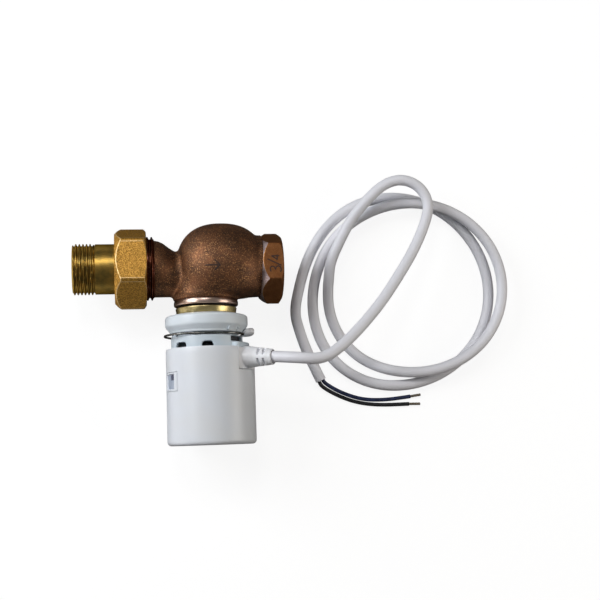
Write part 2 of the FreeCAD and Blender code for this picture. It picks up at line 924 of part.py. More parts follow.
piece(
    turned_on_spindle(
        "spring_collar",
        [
            (size.spindle_radius, size.spring_collar_place),
            (size.spring_collar_radius, size.spring_collar_place),
            (size.spring_collar_radius, size.spring_collar_place + size.spring_collar_height),
            (size.spindle_radius, size.spring_collar_place + size.spring_collar_height),
        ],
    ),
    "spring_collar",
)
return_spring = shape_object(
    "return_spring",
    spring_shape(
        size.return_spring_radius.value,
        size.return_spring_wire.value,
        (size.bonnet_start + size.bonnet_wall + size.return_spring_wire).value + 0.1,
        (size.spring_collar_place - size.return_spring_wire).value - 0.1,
        size.return_spring_turns.value,
    ),
)
piece(return_spring, "return_spring")

# Coupling ring with the bonnet's thread inside and a sleeve that holds the actuator under it

thread_root = size.neck_thread_radius + size.running_gap
ring_top = neck_thread_start - 0.7
ring_edge = ring_top + size.ring_shoulder
ring_side_end = ring_edge + size.ring_side
groove_bottom = size.ring_bottom + size.clip_groove_height
ring_outline = [
    (size.neck_radius + size.loose_gap, ring_top),
    (size.neck_radius + 1.2, ring_top),
    (size.ring_radius - 1, ring_edge - 0.8),
    (size.ring_radius, ring_edge),
    (size.ring_radius, ring_side_end),
    (size.ring_bottom_radius + 0.2, ring_side_end + (size.ring_radius - size.ring_bottom_radius)),
    (size.ring_bottom_radius, size.ring_bottom),
    (size.clip_groove_radius, size.ring_bottom),
    (size.clip_groove_radius, groove_bottom),
    (size.sleeve_radius, groove_bottom),
    (size.sleeve_radius, size.sleeve_end),
    (size.sleeve_bore, size.sleeve_end),
    (size.sleeve_bore, neck_end + 0.4),
    (thread_root, neck_end + 0.4),
]
ring_outline += [
    (radius, place)
    for place, radius in reversed(
        ring_thread(neck_thread_start, neck_end, thread_root, size.neck_thread_deep, size.neck_thread_pitch)
    )
]
ring_outline += [(size.neck_radius + size.loose_gap, neck_thread_start)]
piece(turned_on_spindle("coupling_ring", ring_outline), "coupling_ring")

# Spring wire clip that lies in the sleeve's groove, and its push button

leg_place = size.clip_groove_radius.value + size.clip_wire.value + size.loose_gap.value / 3
bend_place = size.clip_reach.value - size.clip_wire.value
leg_half = leg_place * 0.7
half_clip = (
    (bend_place - size.clip_toe.value, size.clip_toe.value * 1.13),
    (bend_place - size.clip_shoulder.value, leg_place * 0.5),
    (leg_half, leg_place),
    (-leg_half, leg_place),
    (-leg_half * 1.64, leg_place * 0.7),
    (-bend_place, leg_place * 0.28),
)
clip_points = [Vec(across, -size.clip_depth.value, up) for across, up in half_clip]
clip_points += [Vec(across, -size.clip_depth.value, -up) for across, up in reversed(half_clip)]
clip_edges, clip_radii = rounded_runs(clip_points)
piece(shape_object("wire_clip", tube_shape(clip_edges, size.clip_wire.value)), "wire_clip")

button_start = size.base_radius + 0.4
button_body = doc.addObject("PartDesign::Body", "button_body")
button_half = size.button_height * 0.5
button_points = []
for corner in range(12):
    angle = math.radians(15 + 30 * corner)
    push = 1 if math.cos(angle) > 0 else -1
    place = button_start + size.button_length * 0.5 + (size.button_length * 0.5 - button_half * 0.8) * push
    rise = button_half * math.sin(angle) - size.button_depth
    button_points.append((place + button_half * (0.8 * math.cos(angle)), rise))
button_sketch = outline_sketch(button_body, "button_outline", "XY_Plane", button_points)
button_pad = button_body.newObject("PartDesign::Pad", "button_pad")
button_pad.Profile = button_sketch
button_pad.Midplane = True
bind(button_pad, "Length", size.button_width)
button_room = turned_on_spindle(
    "button_room",
    [
        (0.0, ring_side_end),
        (size.ring_radius + size.button_gap, ring_side_end),
        (size.sleeve_radius + size.button_gap, size.sleeve_end),
        (0.0, size.sleeve_end),
    ],
)
piece(cut("clip_button", button_body, button_room), "clip_button")

# Actuator base: socket for the sleeve, vent windows, wire slot, bridge pillars and the flange in the housing

plate_end = size.base_plate + size.base_plate_thickness
flange_top = size.housing_top + 0.2
flange_end = flange_top + size.base_flange_height
inner_radius = size.base_radius - size.base_wall
base_cup = turned_on_spindle(
    "base_cup",
    [
        (inner_radius, size.base_top),
        (size.base_radius, size.base_top),
        (size.base_radius, flange_end),
        (inner_radius, flange_end),
        (inner_radius, plate_end),
        (size.base_hole, plate_end),
        (size.base_hole, size.base_plate),
        (inner_radius, size.base_plate),
    ],
)
flange_ring = cut(
    "flange_ring",
    rod("flange_outer", size.base_flange_radius, flange_top, flange_end, size.housing_offset),
    rod("flange_inner", inner_radius, flange_top - 1, flange_end + 1),
)
half_pillar = size.pillar_width * 0.5
pillars = [
    box(
        f"pillar_{side}",
        (size.pillar_place * side - half_pillar, plate_end, -half_pillar),
        (size.pillar_place * side + half_pillar, size.bridge_top, half_pillar),
    )
    for side in (-1, 1)
]
post = common(
    "clip_post",
    cut(
        "post_ring",
        rod("post_outer", size.base_radius, size.ring_bottom + size.loose_gap, size.base_top),
        rod("post_inner", inner_radius, size.ring_bottom, size.base_top + 1),
    ),
    box(
        "post_box",
        (-(size.base_radius + 1), size.ring_bottom, -(size.post_width * 0.5)),
        (-size.base_hole, size.base_top, size.post_width * 0.5),
    ),
)
gate_turn = size.gate_turn.value
gate_shift = size.housing_offset * math.sin(math.radians(gate_turn))
gate_drift = size.housing_offset * math.cos(math.radians(gate_turn))
gate_block = box(
    "gate_block",
    (gate_drift - size.gate_width * 0.32, size.housing_top - 2.6, size.base_radius - 1),
    (gate_drift + size.gate_width * 0.32, size.housing_top + 0.2, gate_shift + size.gate_flat - 0.6),
    gate_turn,
)
base_form = fused("base_form", [base_cup, flange_ring, post, gate_block] + pillars)
half_window = size.window_width * 0.5
window_end = plate_end + size.window_height
openings = [
    box(
        f"vent_{index}",
        (-half_window, window_end - size.window_height, inner_radius - 0.8),
        (half_window, window_end, size.base_flange_radius + 1),
        size.window_turn.value - size.window_step.value * index,
    )
    for index in range(int(size.window_count.value))
]
openings.append(
    box(
        "wire_slot",
        (-(size.slot_width * 0.5), size.base_top - 1, inner_radius - 2),
        (size.slot_width * 0.5, size.base_plate, size.base_radius + 2),
        size.slot_turn.value,
    )
)
notch_start = gate_shift + size.gate_flat - size.boot_plate - 0.1
openings.append(
    box(
        "gate_notch",
        (gate_drift - size.gate_width * 0.5, flange_top, notch_start),
        (gate_drift + size.gate_width * 0.5, flange_end + 1, size.housing_radius * 1.2),
        gate_turn,
    )
)
openings += [
    rod(
        f"pillar_hole_{side}",
        size.screw_radius,
        size.bridge_top - size.screw_grip - 0.4,
        size.bridge_top + 1,
        size.pillar_place * side,
    )
    for side in (-1, 1)
]
piece(cut("actuator_base", base_form, fused("base_openings", openings)), "actuator_base")

# Housing: a round cup with a rounded closed end, an indicator window and a notch for the cable gate

housing_inner = size.housing_radius - size.housing_wall
housing_bar = rod("housing_bar", size.housing_radius, size.housing_top, size.housing_end, size.housing_offset)
doc.recompute()
housing_rounded = doc.addObject("Part::Fillet", "housing_rounded")
housing_rounded.Base = housing_bar
far_y = -size.housing_end.value
end_edges = [
    index
    for index, edge in enumerate(housing_bar.Shape.Edges, start=1)
    if abs(edge.BoundBox.YMax - far_y) < EPSILON and abs(edge.BoundBox.YMin - far_y) < EPSILON
]
housing_rounded.Edges = [(index, size.housing_round.value, size.housing_round.value) for index in end_edges]
lens_end = size.lens_top + size.lens_height
lens_turn = size.lens_turn.value
housing_openings = fused(
    "housing_openings",
    [
        rod(
            "housing_bore",
            housing_inner,
            size.housing_top - 1,
            size.housing_end - size.housing_wall,
            size.housing_offset,
        ),
        box(
            "lens_hole",
            (-(size.lens_width * 0.5), size.lens_top, size.carrier_flange),
            (size.lens_width * 0.5, lens_end, size.housing_radius * 1.2),
            lens_turn,
        ),
        box(
            "gate_hole",
            (gate_drift - size.gate_width * 0.5, size.housing_top - 1, size.carrier_flange),
            (gate_drift + size.gate_width * 0.5, size.housing_top + size.gate_height, size.housing_radius * 1.2),
            gate_turn,
        ),
    ],
)
piece(cut("actuator_housing", housing_rounded, housing_openings), "actuator_housing")

lens_shell = cut(
    "lens_shell",
    rod("lens_outer", size.housing_radius - 0.4, size.lens_top + 0.1, lens_end - 0.1, size.housing_offset),
    rod("lens_inner", housing_inner + 0.2, size.lens_top, lens_end, size.housing_offset),
)
piece(
    common(
        "indicator_lens",
        lens_shell,
        box(
            "lens_box",
            (-(size.lens_width * 0.5) + 0.1, size.lens_top, size.carrier_flange),
            (size.lens_width * 0.5 - 0.1, lens_end, size.housing_radius * 1.2),
            lens_turn,
        ),
    ),
    "indicator_lens",
)

# Wax drive: bridge and its screws, piston, yoke, carrier cup, wax element, heater and springs

bridge_end = size.bridge_top + size.bridge_height
bridge_half = size.bridge_width * 0.5
bridge_reach = size.pillar_place + half_pillar + 0.2
bridge_holes = fused(
    "bridge_holes",
    [
        rod(
            f"bridge_hole_{side}",
            size.screw_radius + 0.1,
            size.bridge_top - 1,
            bridge_end + 1,
            size.pillar_place * side,
        )
        for side in (-1, 1)
    ],
)
bridge_bar = box(
    "bridge_bar", (-bridge_reach, size.bridge_top, -bridge_half), (bridge_reach, bridge_end, bridge_half)
)
piece(cut("bridge", bridge_bar, bridge_holes), "bridge")
screws = []
for side in (-1, 1):
    place = size.pillar_place * side
    head_end = bridge_end + size.screw_head_height
    shank_start = size.bridge_top - size.screw_grip
    screws.append(rod(f"screw_head_{side}", size.screw_radius * 1.8, bridge_end, head_end, place))
    screws.append(rod(f"screw_shank_{side}", size.screw_radius, shank_start, head_end - 0.5, place))
piece(fused("bridge_screws", screws), "bridge_screws")
piston_end = bridge_end + size.piston_length
piece(
    turned_on_spindle(
        "wax_piston",
        [
            (0.0, bridge_end),
            (size.piston_radius, bridge_end),
            (size.piston_radius, piston_end - 0.5),
            (size.piston_radius - 0.5, piston_end),
            (0.0, piston_end),
        ],
    ),
    "wax_piston",
)
foot_top = size.spindle_end + 0.05
foot_end = foot_top + size.foot_height
crosshead_end = size.crosshead_top + size.crosshead_height
yoke_head = turned_on_spindle(
    "yoke_head",
    [
        (0.0, foot_top),
        (size.foot_radius - 0.6, foot_top),
        (size.foot_radius, foot_top + 0.6),
        (size.foot_radius, foot_end),
        (size.stem_radius, foot_end),
        (size.stem_radius, size.crosshead_top),
        (size.crosshead_radius, size.crosshead_top),
        (size.crosshead_radius, crosshead_end),
        (0.0, crosshead_end),
    ],
)
leg_outer = size.crosshead_radius - 0.4
yoke_legs = [
    box(
        f"yoke_leg_{side}",
        (-(size.leg_width * 0.5), crosshead_end - 1, leg_outer - size.leg_thickness),
        (size.leg_width * 0.5, size.carrier_top, leg_outer),
        turn,
    )
    for side, turn in (("front", 0), ("back", 180))
]
piece(fused("plunger_yoke", [yoke_head] + yoke_legs), "plunger_yoke")

cup_inner = size.carrier_radius - size.carrier_wall
element_start = size.carrier_top + 3
element_end = element_start + size.element_length
heater_end = element_end + size.heater_height
cup_floor = heater_end + size.contact_spring_height
carrier_bottom = cup_floor + 1.6
cup_mouth = leg_outer - size.leg_thickness - 0.8
piece(
    turned_on_spindle(
        "element_carrier",
        [
            (cup_mouth, size.carrier_top),
            (size.carrier_flange, size.carrier_top),
            (size.carrier_flange, size.carrier_top + size.carrier_flange_height),
            (size.carrier_radius, size.carrier_top + size.carrier_flange_height),
            (size.carrier_radius, carrier_bottom),
            (0.0, carrier_bottom),
            (0.0, cup_floor),
            (cup_inner, cup_floor),
            (cup_inner, element_start),
            (cup_mouth, element_start),
        ],
    ),
    "element_carrier",
)
element_bore = size.piston_radius + size.running_gap
element_radius = cup_inner - 0.1
piece(
    turned_on_spindle(
        "wax_element",
        [
            (element_bore, size.carrier_top + 0.6),
            (size.element_neck, size.carrier_top + 0.6),
            (size.element_neck, element_start),
            (element_radius, element_start),
            (element_radius, element_end),
            (0.0, element_end),
            (0.0, piston_end + 0.5),
            (element_bore, piston_end + 0.5),
        ],
    ),
    "wax_element",
)
piece(rod("heater_disc", element_radius - 0.6, element_end, heater_end), "heater_disc")
heater_disc = nodes[-1]
bind(heater_disc, "Placement.Base.y", FRAME_Y - element_end)
contact_wire = 0.45
piece(
    shape_object(
        "contact_spring",
        spring_shape(
            cup_inner.value * 0.55, contact_wire, heater_end.value + contact_wire, cup_floor.value - contact_wire, 2
        ),
    ),
    "contact_spring",
)
flag_reach = size.carrier_flange - 0.3
flag_face = size.housing_radius - size.housing_wall - size.housing_offset - 0.9
flag_arm = box(
    "flag_arm",
    (-2.5, size.carrier_top + 0.5, flag_reach),
    (2.5, size.carrier_top + 1.7, flag_face - 0.5),
    lens_turn,
)
flag_leaf = box(
    "flag_leaf",
    (-2.5, size.carrier_top + 0.5, flag_face - 1),
    (2.5, size.lens_top + size.lens_height * 0.6, flag_face),
    lens_turn,
)
flag_root = rod("flag_root", size.carrier_flange, size.carrier_top, size.carrier_top + size.carrier_flange_height)
piece(cut("indicator_flag", fused("flag_form", [flag_arm, flag_leaf]), flag_root), "indicator_flag")

spring_start = size.carrier_top + size.carrier_flange_height + size.main_spring_wire
spring_cap_top = size.housing_end - size.housing_wall - size.spring_cap_height
piece(
    shape_object(
        "main_spring",
        spring_shape(
            size.main_spring_radius.value,
            size.main_spring_wire.value,
            spring_start.value + 0.1,
            (spring_cap_top - size.main_spring_wire).value - 0.1,
            size.main_spring_turns.value,
        ),
    ),
    "main_spring",
)
piece(
    turned_on_spindle(
        "spring_cap",
        [
            (size.main_spring_radius - 2.5, spring_cap_top),
            (size.main_spring_radius + 2.5, spring_cap_top),
            (size.main_spring_radius + 2.5, spring_cap_top + size.spring_cap_height),
            (size.main_spring_radius - 2.5, spring_cap_top + size.spring_cap_height),
        ],
    ),
    "spring_cap",
)

# Cable gate: boot with its plate and ribbed taper, the clamp behind it and the terminal tabs

gate_rotation = FreeCAD.Rotation(Vec(0, 1, 0), gate_turn)


def gate_point(across, depth, out):
    """A point of the gate: across the flat, depth along -Y, and distance out from the housing's axis."""
    base = Vec(size.housing_offset.value, 0, 0)
    return base + gate_rotation.multVec(Vec(across, 0, out)) - Vec(0, depth, 0)


boot_direction = gate_rotation.multVec(Vec(0, 0, 1))
gate_out = size.gate_flat.value
boot_end_out = gate_out + size.boot_length.value


def gate_box(across, depths, outs):
    """A box square to the gate, half as wide as across on each side."""
    low = Vec(-across, -depths[1], outs[0])
    block = Part.makeBox(2 * across, depths[1] - depths[0], outs[1] - outs[0], low)
    block.Placement = FreeCAD.Placement(Vec(size.housing_offset.value, 0, 0), gate_rotation)
    return block


def gate_cone(first_radius, last_radius, first_out, last_out):
    """A cone or bar along the boot's axis."""
    base = gate_point(0, size.boot_depth.value, first_out)
    if abs(first_radius - last_radius) < EPSILON:
        return Part.makeCylinder(first_radius, last_out - first_out, base, boot_direction)
    return Part.makeCone(first_radius, last_radius, last_out - first_out, base, boot_direction)


def boot_shape():
    """Plate, domed root and taper, with two rows of slots broken by four ribs."""
    gap = 0.15
    half = size.gate_width.value / 2 - gap
    top = size.housing_top.value + 0.25
    bottom = size.housing_top.value + size.gate_height.value - gap
    root = size.boot_root_radius.value
    tip = size.boot_tip_radius.value
    solid = gate_box(half, (top, bottom), (gate_out - size.boot_plate.value, gate_out))
    solid = solid.fuse(gate_cone(root + 0.4, root, gate_out, gate_out + 1.2))
    solid = solid.fuse(gate_cone(root, tip, gate_out + 1.2, boot_end_out))
    pitch = 2.9
    slot = 1.2
    for row in (1, 2):
        start = gate_out + size.boot_length.value * 0.38 + pitch * row - pitch
        ring = gate_cone(root + 1, root + 1, start, start + slot).cut(
            gate_cone(tip * 0.86, tip * 0.86, start - 1, start + slot + 1)
        )
        for angle in (0, 90):
            rib = Part.makeBox(1.7, 4 * root, slot + 2, Vec(-0.85, -2 * root, start - 1))
            rib.rotate(Vec(0, 0, 0), Vec(0, 0, 1), angle)
            rib.translate(Vec(0, -size.boot_depth.value, 0))
            rib.Placement = FreeCAD.Placement(
                Vec(size.housing_offset.value, 0, 0), gate_rotation
            ).multiply(rib.Placement)
            ring = ring.cut(rib)
        solid = solid.cut(ring)
    return solid.removeSplitter()


piece(shape_object("cable_boot", boot_shape()), "cable_boot")
clamp_top = flange_end.value + 0.2
clamp_end = size.carrier_top.value - 0.9
clamp_out = gate_out - size.boot_plate.value - 0.05
clamp_in = clamp_out - size.clamp_thickness.value
clamp_solid = gate_box(size.clamp_half_width.value, (clamp_top, clamp_end), (clamp_in, clamp_out))
piece(shape_object("cable_clamp", Part.makeCompound([clamp_solid])), "cable_clamp")
tab_shapes = []
tab_length = size.tab_length.value
tab_width = size.tab_width.value
for tab_side in (-1, 1):
    tab_left = size.tab_place.value * tab_side - tab_width / 2
    tab_low = Vec(tab_left, -(clamp_end + tab_length), (clamp_in + clamp_out) / 2)
    tab = Part.makeBox(tab_width, tab_length, size.tab_thickness.value, tab_low)
    tab.Placement = FreeCAD.Placement(Vec(size.housing_offset.value, 0, 0), gate_rotation)
    tab_shapes.append(tab)
piece(shape_object("terminal_tabs", Part.makeCompound(tab_shapes)), "terminal_tabs")

# Cord: a free stretch from the boot, two loose turns on the table, a short tail and two stripped cores


def on_table(across, up, height):
    """A point given in the part's frame, with its height above the table, about the valve's centre."""
    return Vec(across - FRAME_X.value, up - FRAME_Y.value, height - FRAME_Z.value)


cord_radius = size.cord_diameter.value / 2
cord_floor = cord_radius + 0.02
boot_mouth = gate_point(0, size.boot_depth.value, boot_end_out + 0.1)

# Route of the free stretch, from the boot's mouth to the first turn, chosen by hand
LEAD_ROUTE = (
    (58.6, -13.7, 48.1),
    (71.5, -15.6, 46.4),
    (83.5, -8.6, 41.4),
    (95.0, 2.0, 36.0),
    (107.2, 15.2, 30.4),
    (118.2, 30.0, 26.0),
    (127.6, 44.0, 23.0),
    (135.2, 59.6, 21.0),
    (137.4, 69.6, 20.2),
    (132.6, 79.0, 20.0),
    (122.8, 83.1, 19.8),
    (112.6, 80.2, 18.8),
    (103.0, 71.4, 17.0),
    (94.8, 61.6, 13.6),
    (89.2, 51.4, 11.4),
)

# Route of the tail, from the last turn to the end of the jacket, chosen by hand
TAIL_ROUTE = (
    (66.4, 1.0),
    (70.2, -10.4),
    (76.9, -24.9),
)


def coil_centre(angle):
    """The cord's centre at an angle of the coil, in degrees: two loose turns that drift and widen."""
    turn = (angle - COIL_START) / 360
    radius = COIL_RADIUS + COIL_GROWTH * turn
    for repeat, cosine, cosine_change, sine, sine_change in COIL_WAVES:
        phase = math.radians(angle * repeat)
        radius += (cosine + cosine_change * turn) * math.cos(phase)
        radius += (sine + sine_change * turn) * math.sin(phase)
    around = math.radians(angle)
    return on_table(
        COIL_X + radius * math.cos(around), COIL_Y + radius * math.sin(around), cord_floor + coil_lift(angle)
    )


def smooth(share):
    """Runs evenly from 0 to 1 and is level at both ends."""
    share = min(max(share, 0), 1)
    return share * share * (3 - 2 * share)


def coil_lift(angle):
    """Height above the table: the coil lands from the lead, then humps over its second turn at two crossings."""
    landing = max(1 - (angle - COIL_START) / 52, 0)
    rise = smooth((angle - 236) / 62)
    fall = smooth((angle - 430) / 62)
    return 3 * landing * landing + (size.cord_diameter.value + 0.7) * (rise - fall)


COIL_X = 115.4
COIL_Y = 20.1
COIL_START = 172.0
COIL_END = 892.0
QUARTERS = 8
COIL_RADIUS = 46.4
COIL_GROWTH = 4.1
# How a turn differs from a circle: waves per turn, then the cosine and sine parts, each with its change per turn
COIL_WAVES = (
    (1, 16.7, -7.1, 4.2, -1.8),
    (2, 4.2, -3.0, 2.1, 0.0),
    (3, 0.6, 0.0, 0.7, -0.7),
)


def coil_heading(angle):
    """The coil's direction at an angle."""
    heading = coil_centre(angle + 0.5) - coil_centre(angle - 0.5)
    heading.normalize()
    return heading


def coil_edges():
    """Two turns as pairs of arcs for each quarter turn, with a straight end of one diameter at both ends."""
    angles = [COIL_START + (COIL_END - COIL_START) * quarter / QUARTERS for quarter in range(QUARTERS + 1)]
    first = coil_centre(angles[0])
    last = coil_centre(angles[-1])
    start = first - coil_heading(angles[0]) * size.cord_diameter.value
    end = last + coil_heading(angles[-1]) * size.cord_diameter.value
    edges = [Part.LineSegment(start, first).toShape()]
    for here, after in zip(angles, angles[1:]):
        edges += arc_pair(coil_centre(here), coil_heading(here), coil_centre(after), coil_heading(after))
    edges.append(Part.LineSegment(last, end).toShape())
    return start, end, edges


def least_gap(edges, radius):
    """The least distance between a tube's surface and itself, on points that lie well apart along it."""
    step = 1.5
    path = Part.Wire(edges)
    points = path.discretize(Distance=step)
    apart = int(6 * radius / step) + 1
    least = min(
        points[i].distanceToPoint(points[j]) for i in range(len(points)) for j in range(i + apart, len(points))
    )
    return least - 2 * radius


def crossing_gap(edges, others, radius):
    """The least gap between two tubes, leaving out the stretches beside their joint."""
    step = 1.5
    joint = others[0].valueAt(others[0].FirstParameter)
    near = 6 * radius
    first, second = (
        [point for point in Part.Wire(run).discretize(Distance=step) if point.distanceToPoint(joint) > near]
        for run in (edges, others)
    )
    return min(a.distanceToPoint(b) for a in first for b in second) - 2 * radius


coil_first, coil_last, coil_path = coil_edges()
coil_out = coil_heading(COIL_END)
coil_in = coil_heading(COIL_START)

lead_points = [boot_mouth]
lead_points += [on_table(*point) for point in LEAD_ROUTE]
lead_points += [coil_first - coil_in * 9, coil_first]
lead_path, lead_radii = rounded_runs(lead_points)

tail_points = [coil_last, coil_last + coil_out * 9]
tail_points += [on_table(across, up, cord_floor) for across, up in TAIL_ROUTE]
tail_path, tail_radii = rounded_runs(tail_points)


def cord_piece(label, edges, radius):
    """A tube in the part's frame; prints how well its volume matches its section and length."""
    solid = tube_shape(edges, radius)
    run = sum(edge.Length for edge in edges)
    share = solid.Volume / (math.pi * radius * radius * run)
    print(f"{label}: length {run:.1f} mm, volume share {share:.4f}")
    return piece(shape_object(label, solid), label), run


cord_length = 0.0
for cord_label, cord_path in (("cord_lead", lead_path), ("cord_coil", coil_path), ("cord_tail", tail_path)):
    cord_length += cord_piece(cord_label, cord_path, cord_radius)[1]
print(f"cord length {cord_length:.1f} mm")
print("lead radii", [round(value, 1) for value in lead_radii])
print("tail radii", [round(value, 1) for value in tail_radii])
print(f"coil's least gap to itself {least_gap(coil_path, cord_radius):.2f} mm")
print(f"lead's least gap to the coil {crossing_gap(lead_path, coil_path, cord_radius):.2f} mm")
print("clip radii", [round(value, 1) for value in clip_radii])

# Cores: routes on the table from the jacket's end, chosen by hand
CORE_ROUTES = {
    "core_blue": ((85.9, -30.6), (93.6, -33.9), (100.8, -35.8), (108.5, -36.3), (117.0, -36.0), (126.5, -34.8)),
    "core_black": ((84.8, -32.6), (92.8, -36.1), (100.2, -38.0), (108.0, -38.9), (116.5, -39.1), (125.6, -38.9)),
}
TIP_ENDS = {"core_blue": (132.3, -34.0), "core_black": (131.9, -39.0)}
core_radius = size.core_diameter.value / 2
tip_radius = size.tip_diameter.value / 2
jacket_end = tail_points[-1]
jacket_out = (tail_points[-1] - tail_points[-2]).normalize()
side_step = jacket_out.cross(Vec(0, 0, 1)).normalize()
tip_solids = []
core_apart = core_radius + 0.1
core_rise = 0.3
for core_side, core_name in ((-1, "core_blue"), (1, "core_black")):
    core_floor = core_radius + 0.02
    start = jacket_end + jacket_out * 0.05 + side_step * (core_side * core_apart)
    points = [start, start + jacket_out * (2.6 + 0.5 * core_side) - Vec(0, 0, core_rise)]
    points += [on_table(across, up, core_floor) for across, up in CORE_ROUTES[core_name]]
    edges, radii = rounded_runs(points)
    cord_piece(core_name, edges, core_radius)
    tip_start = points[-1]
    tip_end = on_table(*TIP_ENDS[core_name], core_floor)
    tip_solids.append(Part.makeCylinder(tip_radius, (tip_end - tip_start).Length, tip_start, tip_end - tip_start))
piece(shape_object("core_tips", Part.makeCompound(tip_solids)), "core_tips")

# Build, check and write

doc.recompute()
faults = []
for obj in doc.Objects:
    if "Invalid" in obj.State or "Error" in obj.State:
        faults.append(f"{obj.Name}: {obj.State}")
for node in nodes:
    if node.Shape.isNull() or not node.Shape.isValid() or not node.Shape.Solids:
        faults.append(f"{node.Label}: bad shape")
if faults:
    raise RuntimeError("; ".join(faults))
for node in nodes:
    node.Shape.exportStep(f"parts/{node.Label}.step")
    bounds = node.Shape.BoundBox
    print(
        f"{node.Label}: solids {len(node.Shape.Solids)}, volume {node.Shape.Volume:.1f}, "
        f"X {bounds.XMin:.2f} {bounds.XMax:.2f}, Y {bounds.YMin:.2f} {bounds.YMax:.2f}, "
        f"Z {bounds.ZMin:.2f} {bounds.ZMax:.2f}"
    )
print(f"{len(nodes)} sub-parts")
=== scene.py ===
"""Thermoelectric valve on a pale table: the looks of every piece, built round the packed frame.

Lengths in the pieces are millimetres about the valve's centre, where the pipe axis meets the spindle axis:
+X along the pipe towards the hexagon, -Y along the spindle towards the actuator's closed end, +Z up.
"""

import json
import math
from functools import reduce

import bpy
import numpy as np
from bpy.props import FloatProperty, FloatVectorProperty, IntProperty, PointerProperty
from mathutils import Matrix, Vector


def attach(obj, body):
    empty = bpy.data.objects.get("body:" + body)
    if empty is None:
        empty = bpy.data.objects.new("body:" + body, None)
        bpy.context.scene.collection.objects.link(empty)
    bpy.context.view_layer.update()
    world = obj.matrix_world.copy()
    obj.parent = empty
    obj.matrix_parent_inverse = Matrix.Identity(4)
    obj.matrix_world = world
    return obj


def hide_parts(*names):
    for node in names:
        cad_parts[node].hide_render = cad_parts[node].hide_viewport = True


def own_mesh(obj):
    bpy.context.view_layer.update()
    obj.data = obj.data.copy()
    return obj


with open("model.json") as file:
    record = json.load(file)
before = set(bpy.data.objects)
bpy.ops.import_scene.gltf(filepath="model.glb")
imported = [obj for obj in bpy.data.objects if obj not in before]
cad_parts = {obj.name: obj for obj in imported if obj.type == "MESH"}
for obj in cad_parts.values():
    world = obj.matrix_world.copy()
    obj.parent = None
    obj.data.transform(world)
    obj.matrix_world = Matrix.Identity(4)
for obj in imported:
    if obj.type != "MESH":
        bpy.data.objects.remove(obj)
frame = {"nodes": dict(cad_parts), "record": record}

bl_info = {
    "name": "Thermoelectric Valve",
    "version": (1, 0, 0),
    "blender": (4, 5, 0),
    "location": "3D Viewport > Sidebar > Valve",
    "description": "Builds a bronze globe valve, its wax actuator and its coiled cord round the packed frame",
    "category": "Object",
}

MM = 0.001
# The valve's centre in the part's frame
CENTRE = np.array((14.25, 34.3, 23.4))
TURN = 2 * math.pi


# Shapes from numbers


def to_frame(points):
    """Points about the valve's centre in millimetres, as metres in the part's frame."""
    return (np.asarray(points, float) + CENTRE) * MM


def least(first, second, blend):
    """The lesser of two distances, with the crease between them rounded over a width of blend."""
    share = np.maximum(blend - np.abs(first - second), 0) / blend
    return np.minimum(first, second) - share * share * blend / 4


def most(first, second, blend):
    """The greater of two distances, with the edge between them rounded over a width of blend."""
    return -least(-first, -second, blend)


def both(*fields):
    """Signed distance to what lies in all of some shapes."""
    return reduce(np.maximum, fields)


def either(*fields):
    """Signed distance to what lies in any of some shapes."""
    return reduce(np.minimum, fields)


def between(value, low, high):
    """Signed distance to a slab from low to high."""
    return np.maximum(low - value, value - high)


def slab(value, middle, half):
    """Signed distance to a slab that reaches half to each side of its middle."""
    return np.abs(value - middle) - half


def ramp(value, low, high):
    """0 below low, 1 above high, and an even S-curve between them."""
    share = np.clip((value - low) / (high - low), 0, 1)
    return share * share * (3 - 2 * share)


class Axes:
    """A place with three directions: along an axis, and the two directions at angles 0 and 90 round it."""

    def __init__(self, origin, along, up, side):
        self.origin, self.along, self.up, self.side = (np.array(v, float) for v in (origin, along, up, side))
        self.left_handed = np.dot(np.cross(self.along, self.up), self.side) < 0

    def points(self, along, radius, angle):
        """Points at a distance along the axis, a radius from it and an angle round it."""
        along, radius, angle = (values[..., None] for values in np.broadcast_arrays(along, radius, angle))
        turned = np.cos(angle) * self.up + np.sin(angle) * self.side
        return self.origin + along * self.along + radius * turned

    def local(self, x, y, z):
        """Distances of points along up, side and along."""
        place = np.stack((x, y, z), -1) - self.origin
        return place @ self.up, place @ self.side, place @ self.along


PIPE = Axes((0, 0, 0), (1, 0, 0), (0, 1, 0), (0, 0, 1))
SPINDLE = Axes((0, 0, 0), (0, -1, 0), (0, 0, 1), (1, 0, 0))
# The actuator's housing stands a little off the spindle; its cord leaves by a gate in its side
CUP_AT = 1.5
CUP = Axes((CUP_AT, 0, 0), (0, -1, 0), (0, 0, 1), (1, 0, 0))
GATE_TURN = math.radians(60)
GATE_OUT = (math.sin(GATE_TURN), 0, math.cos(GATE_TURN))
GATE_ACROSS = (math.cos(GATE_TURN), 0, -math.sin(GATE_TURN))
GATE = Axes((CUP_AT, -47.9, 0), GATE_OUT, GATE_ACROSS, (0, -1, 0))


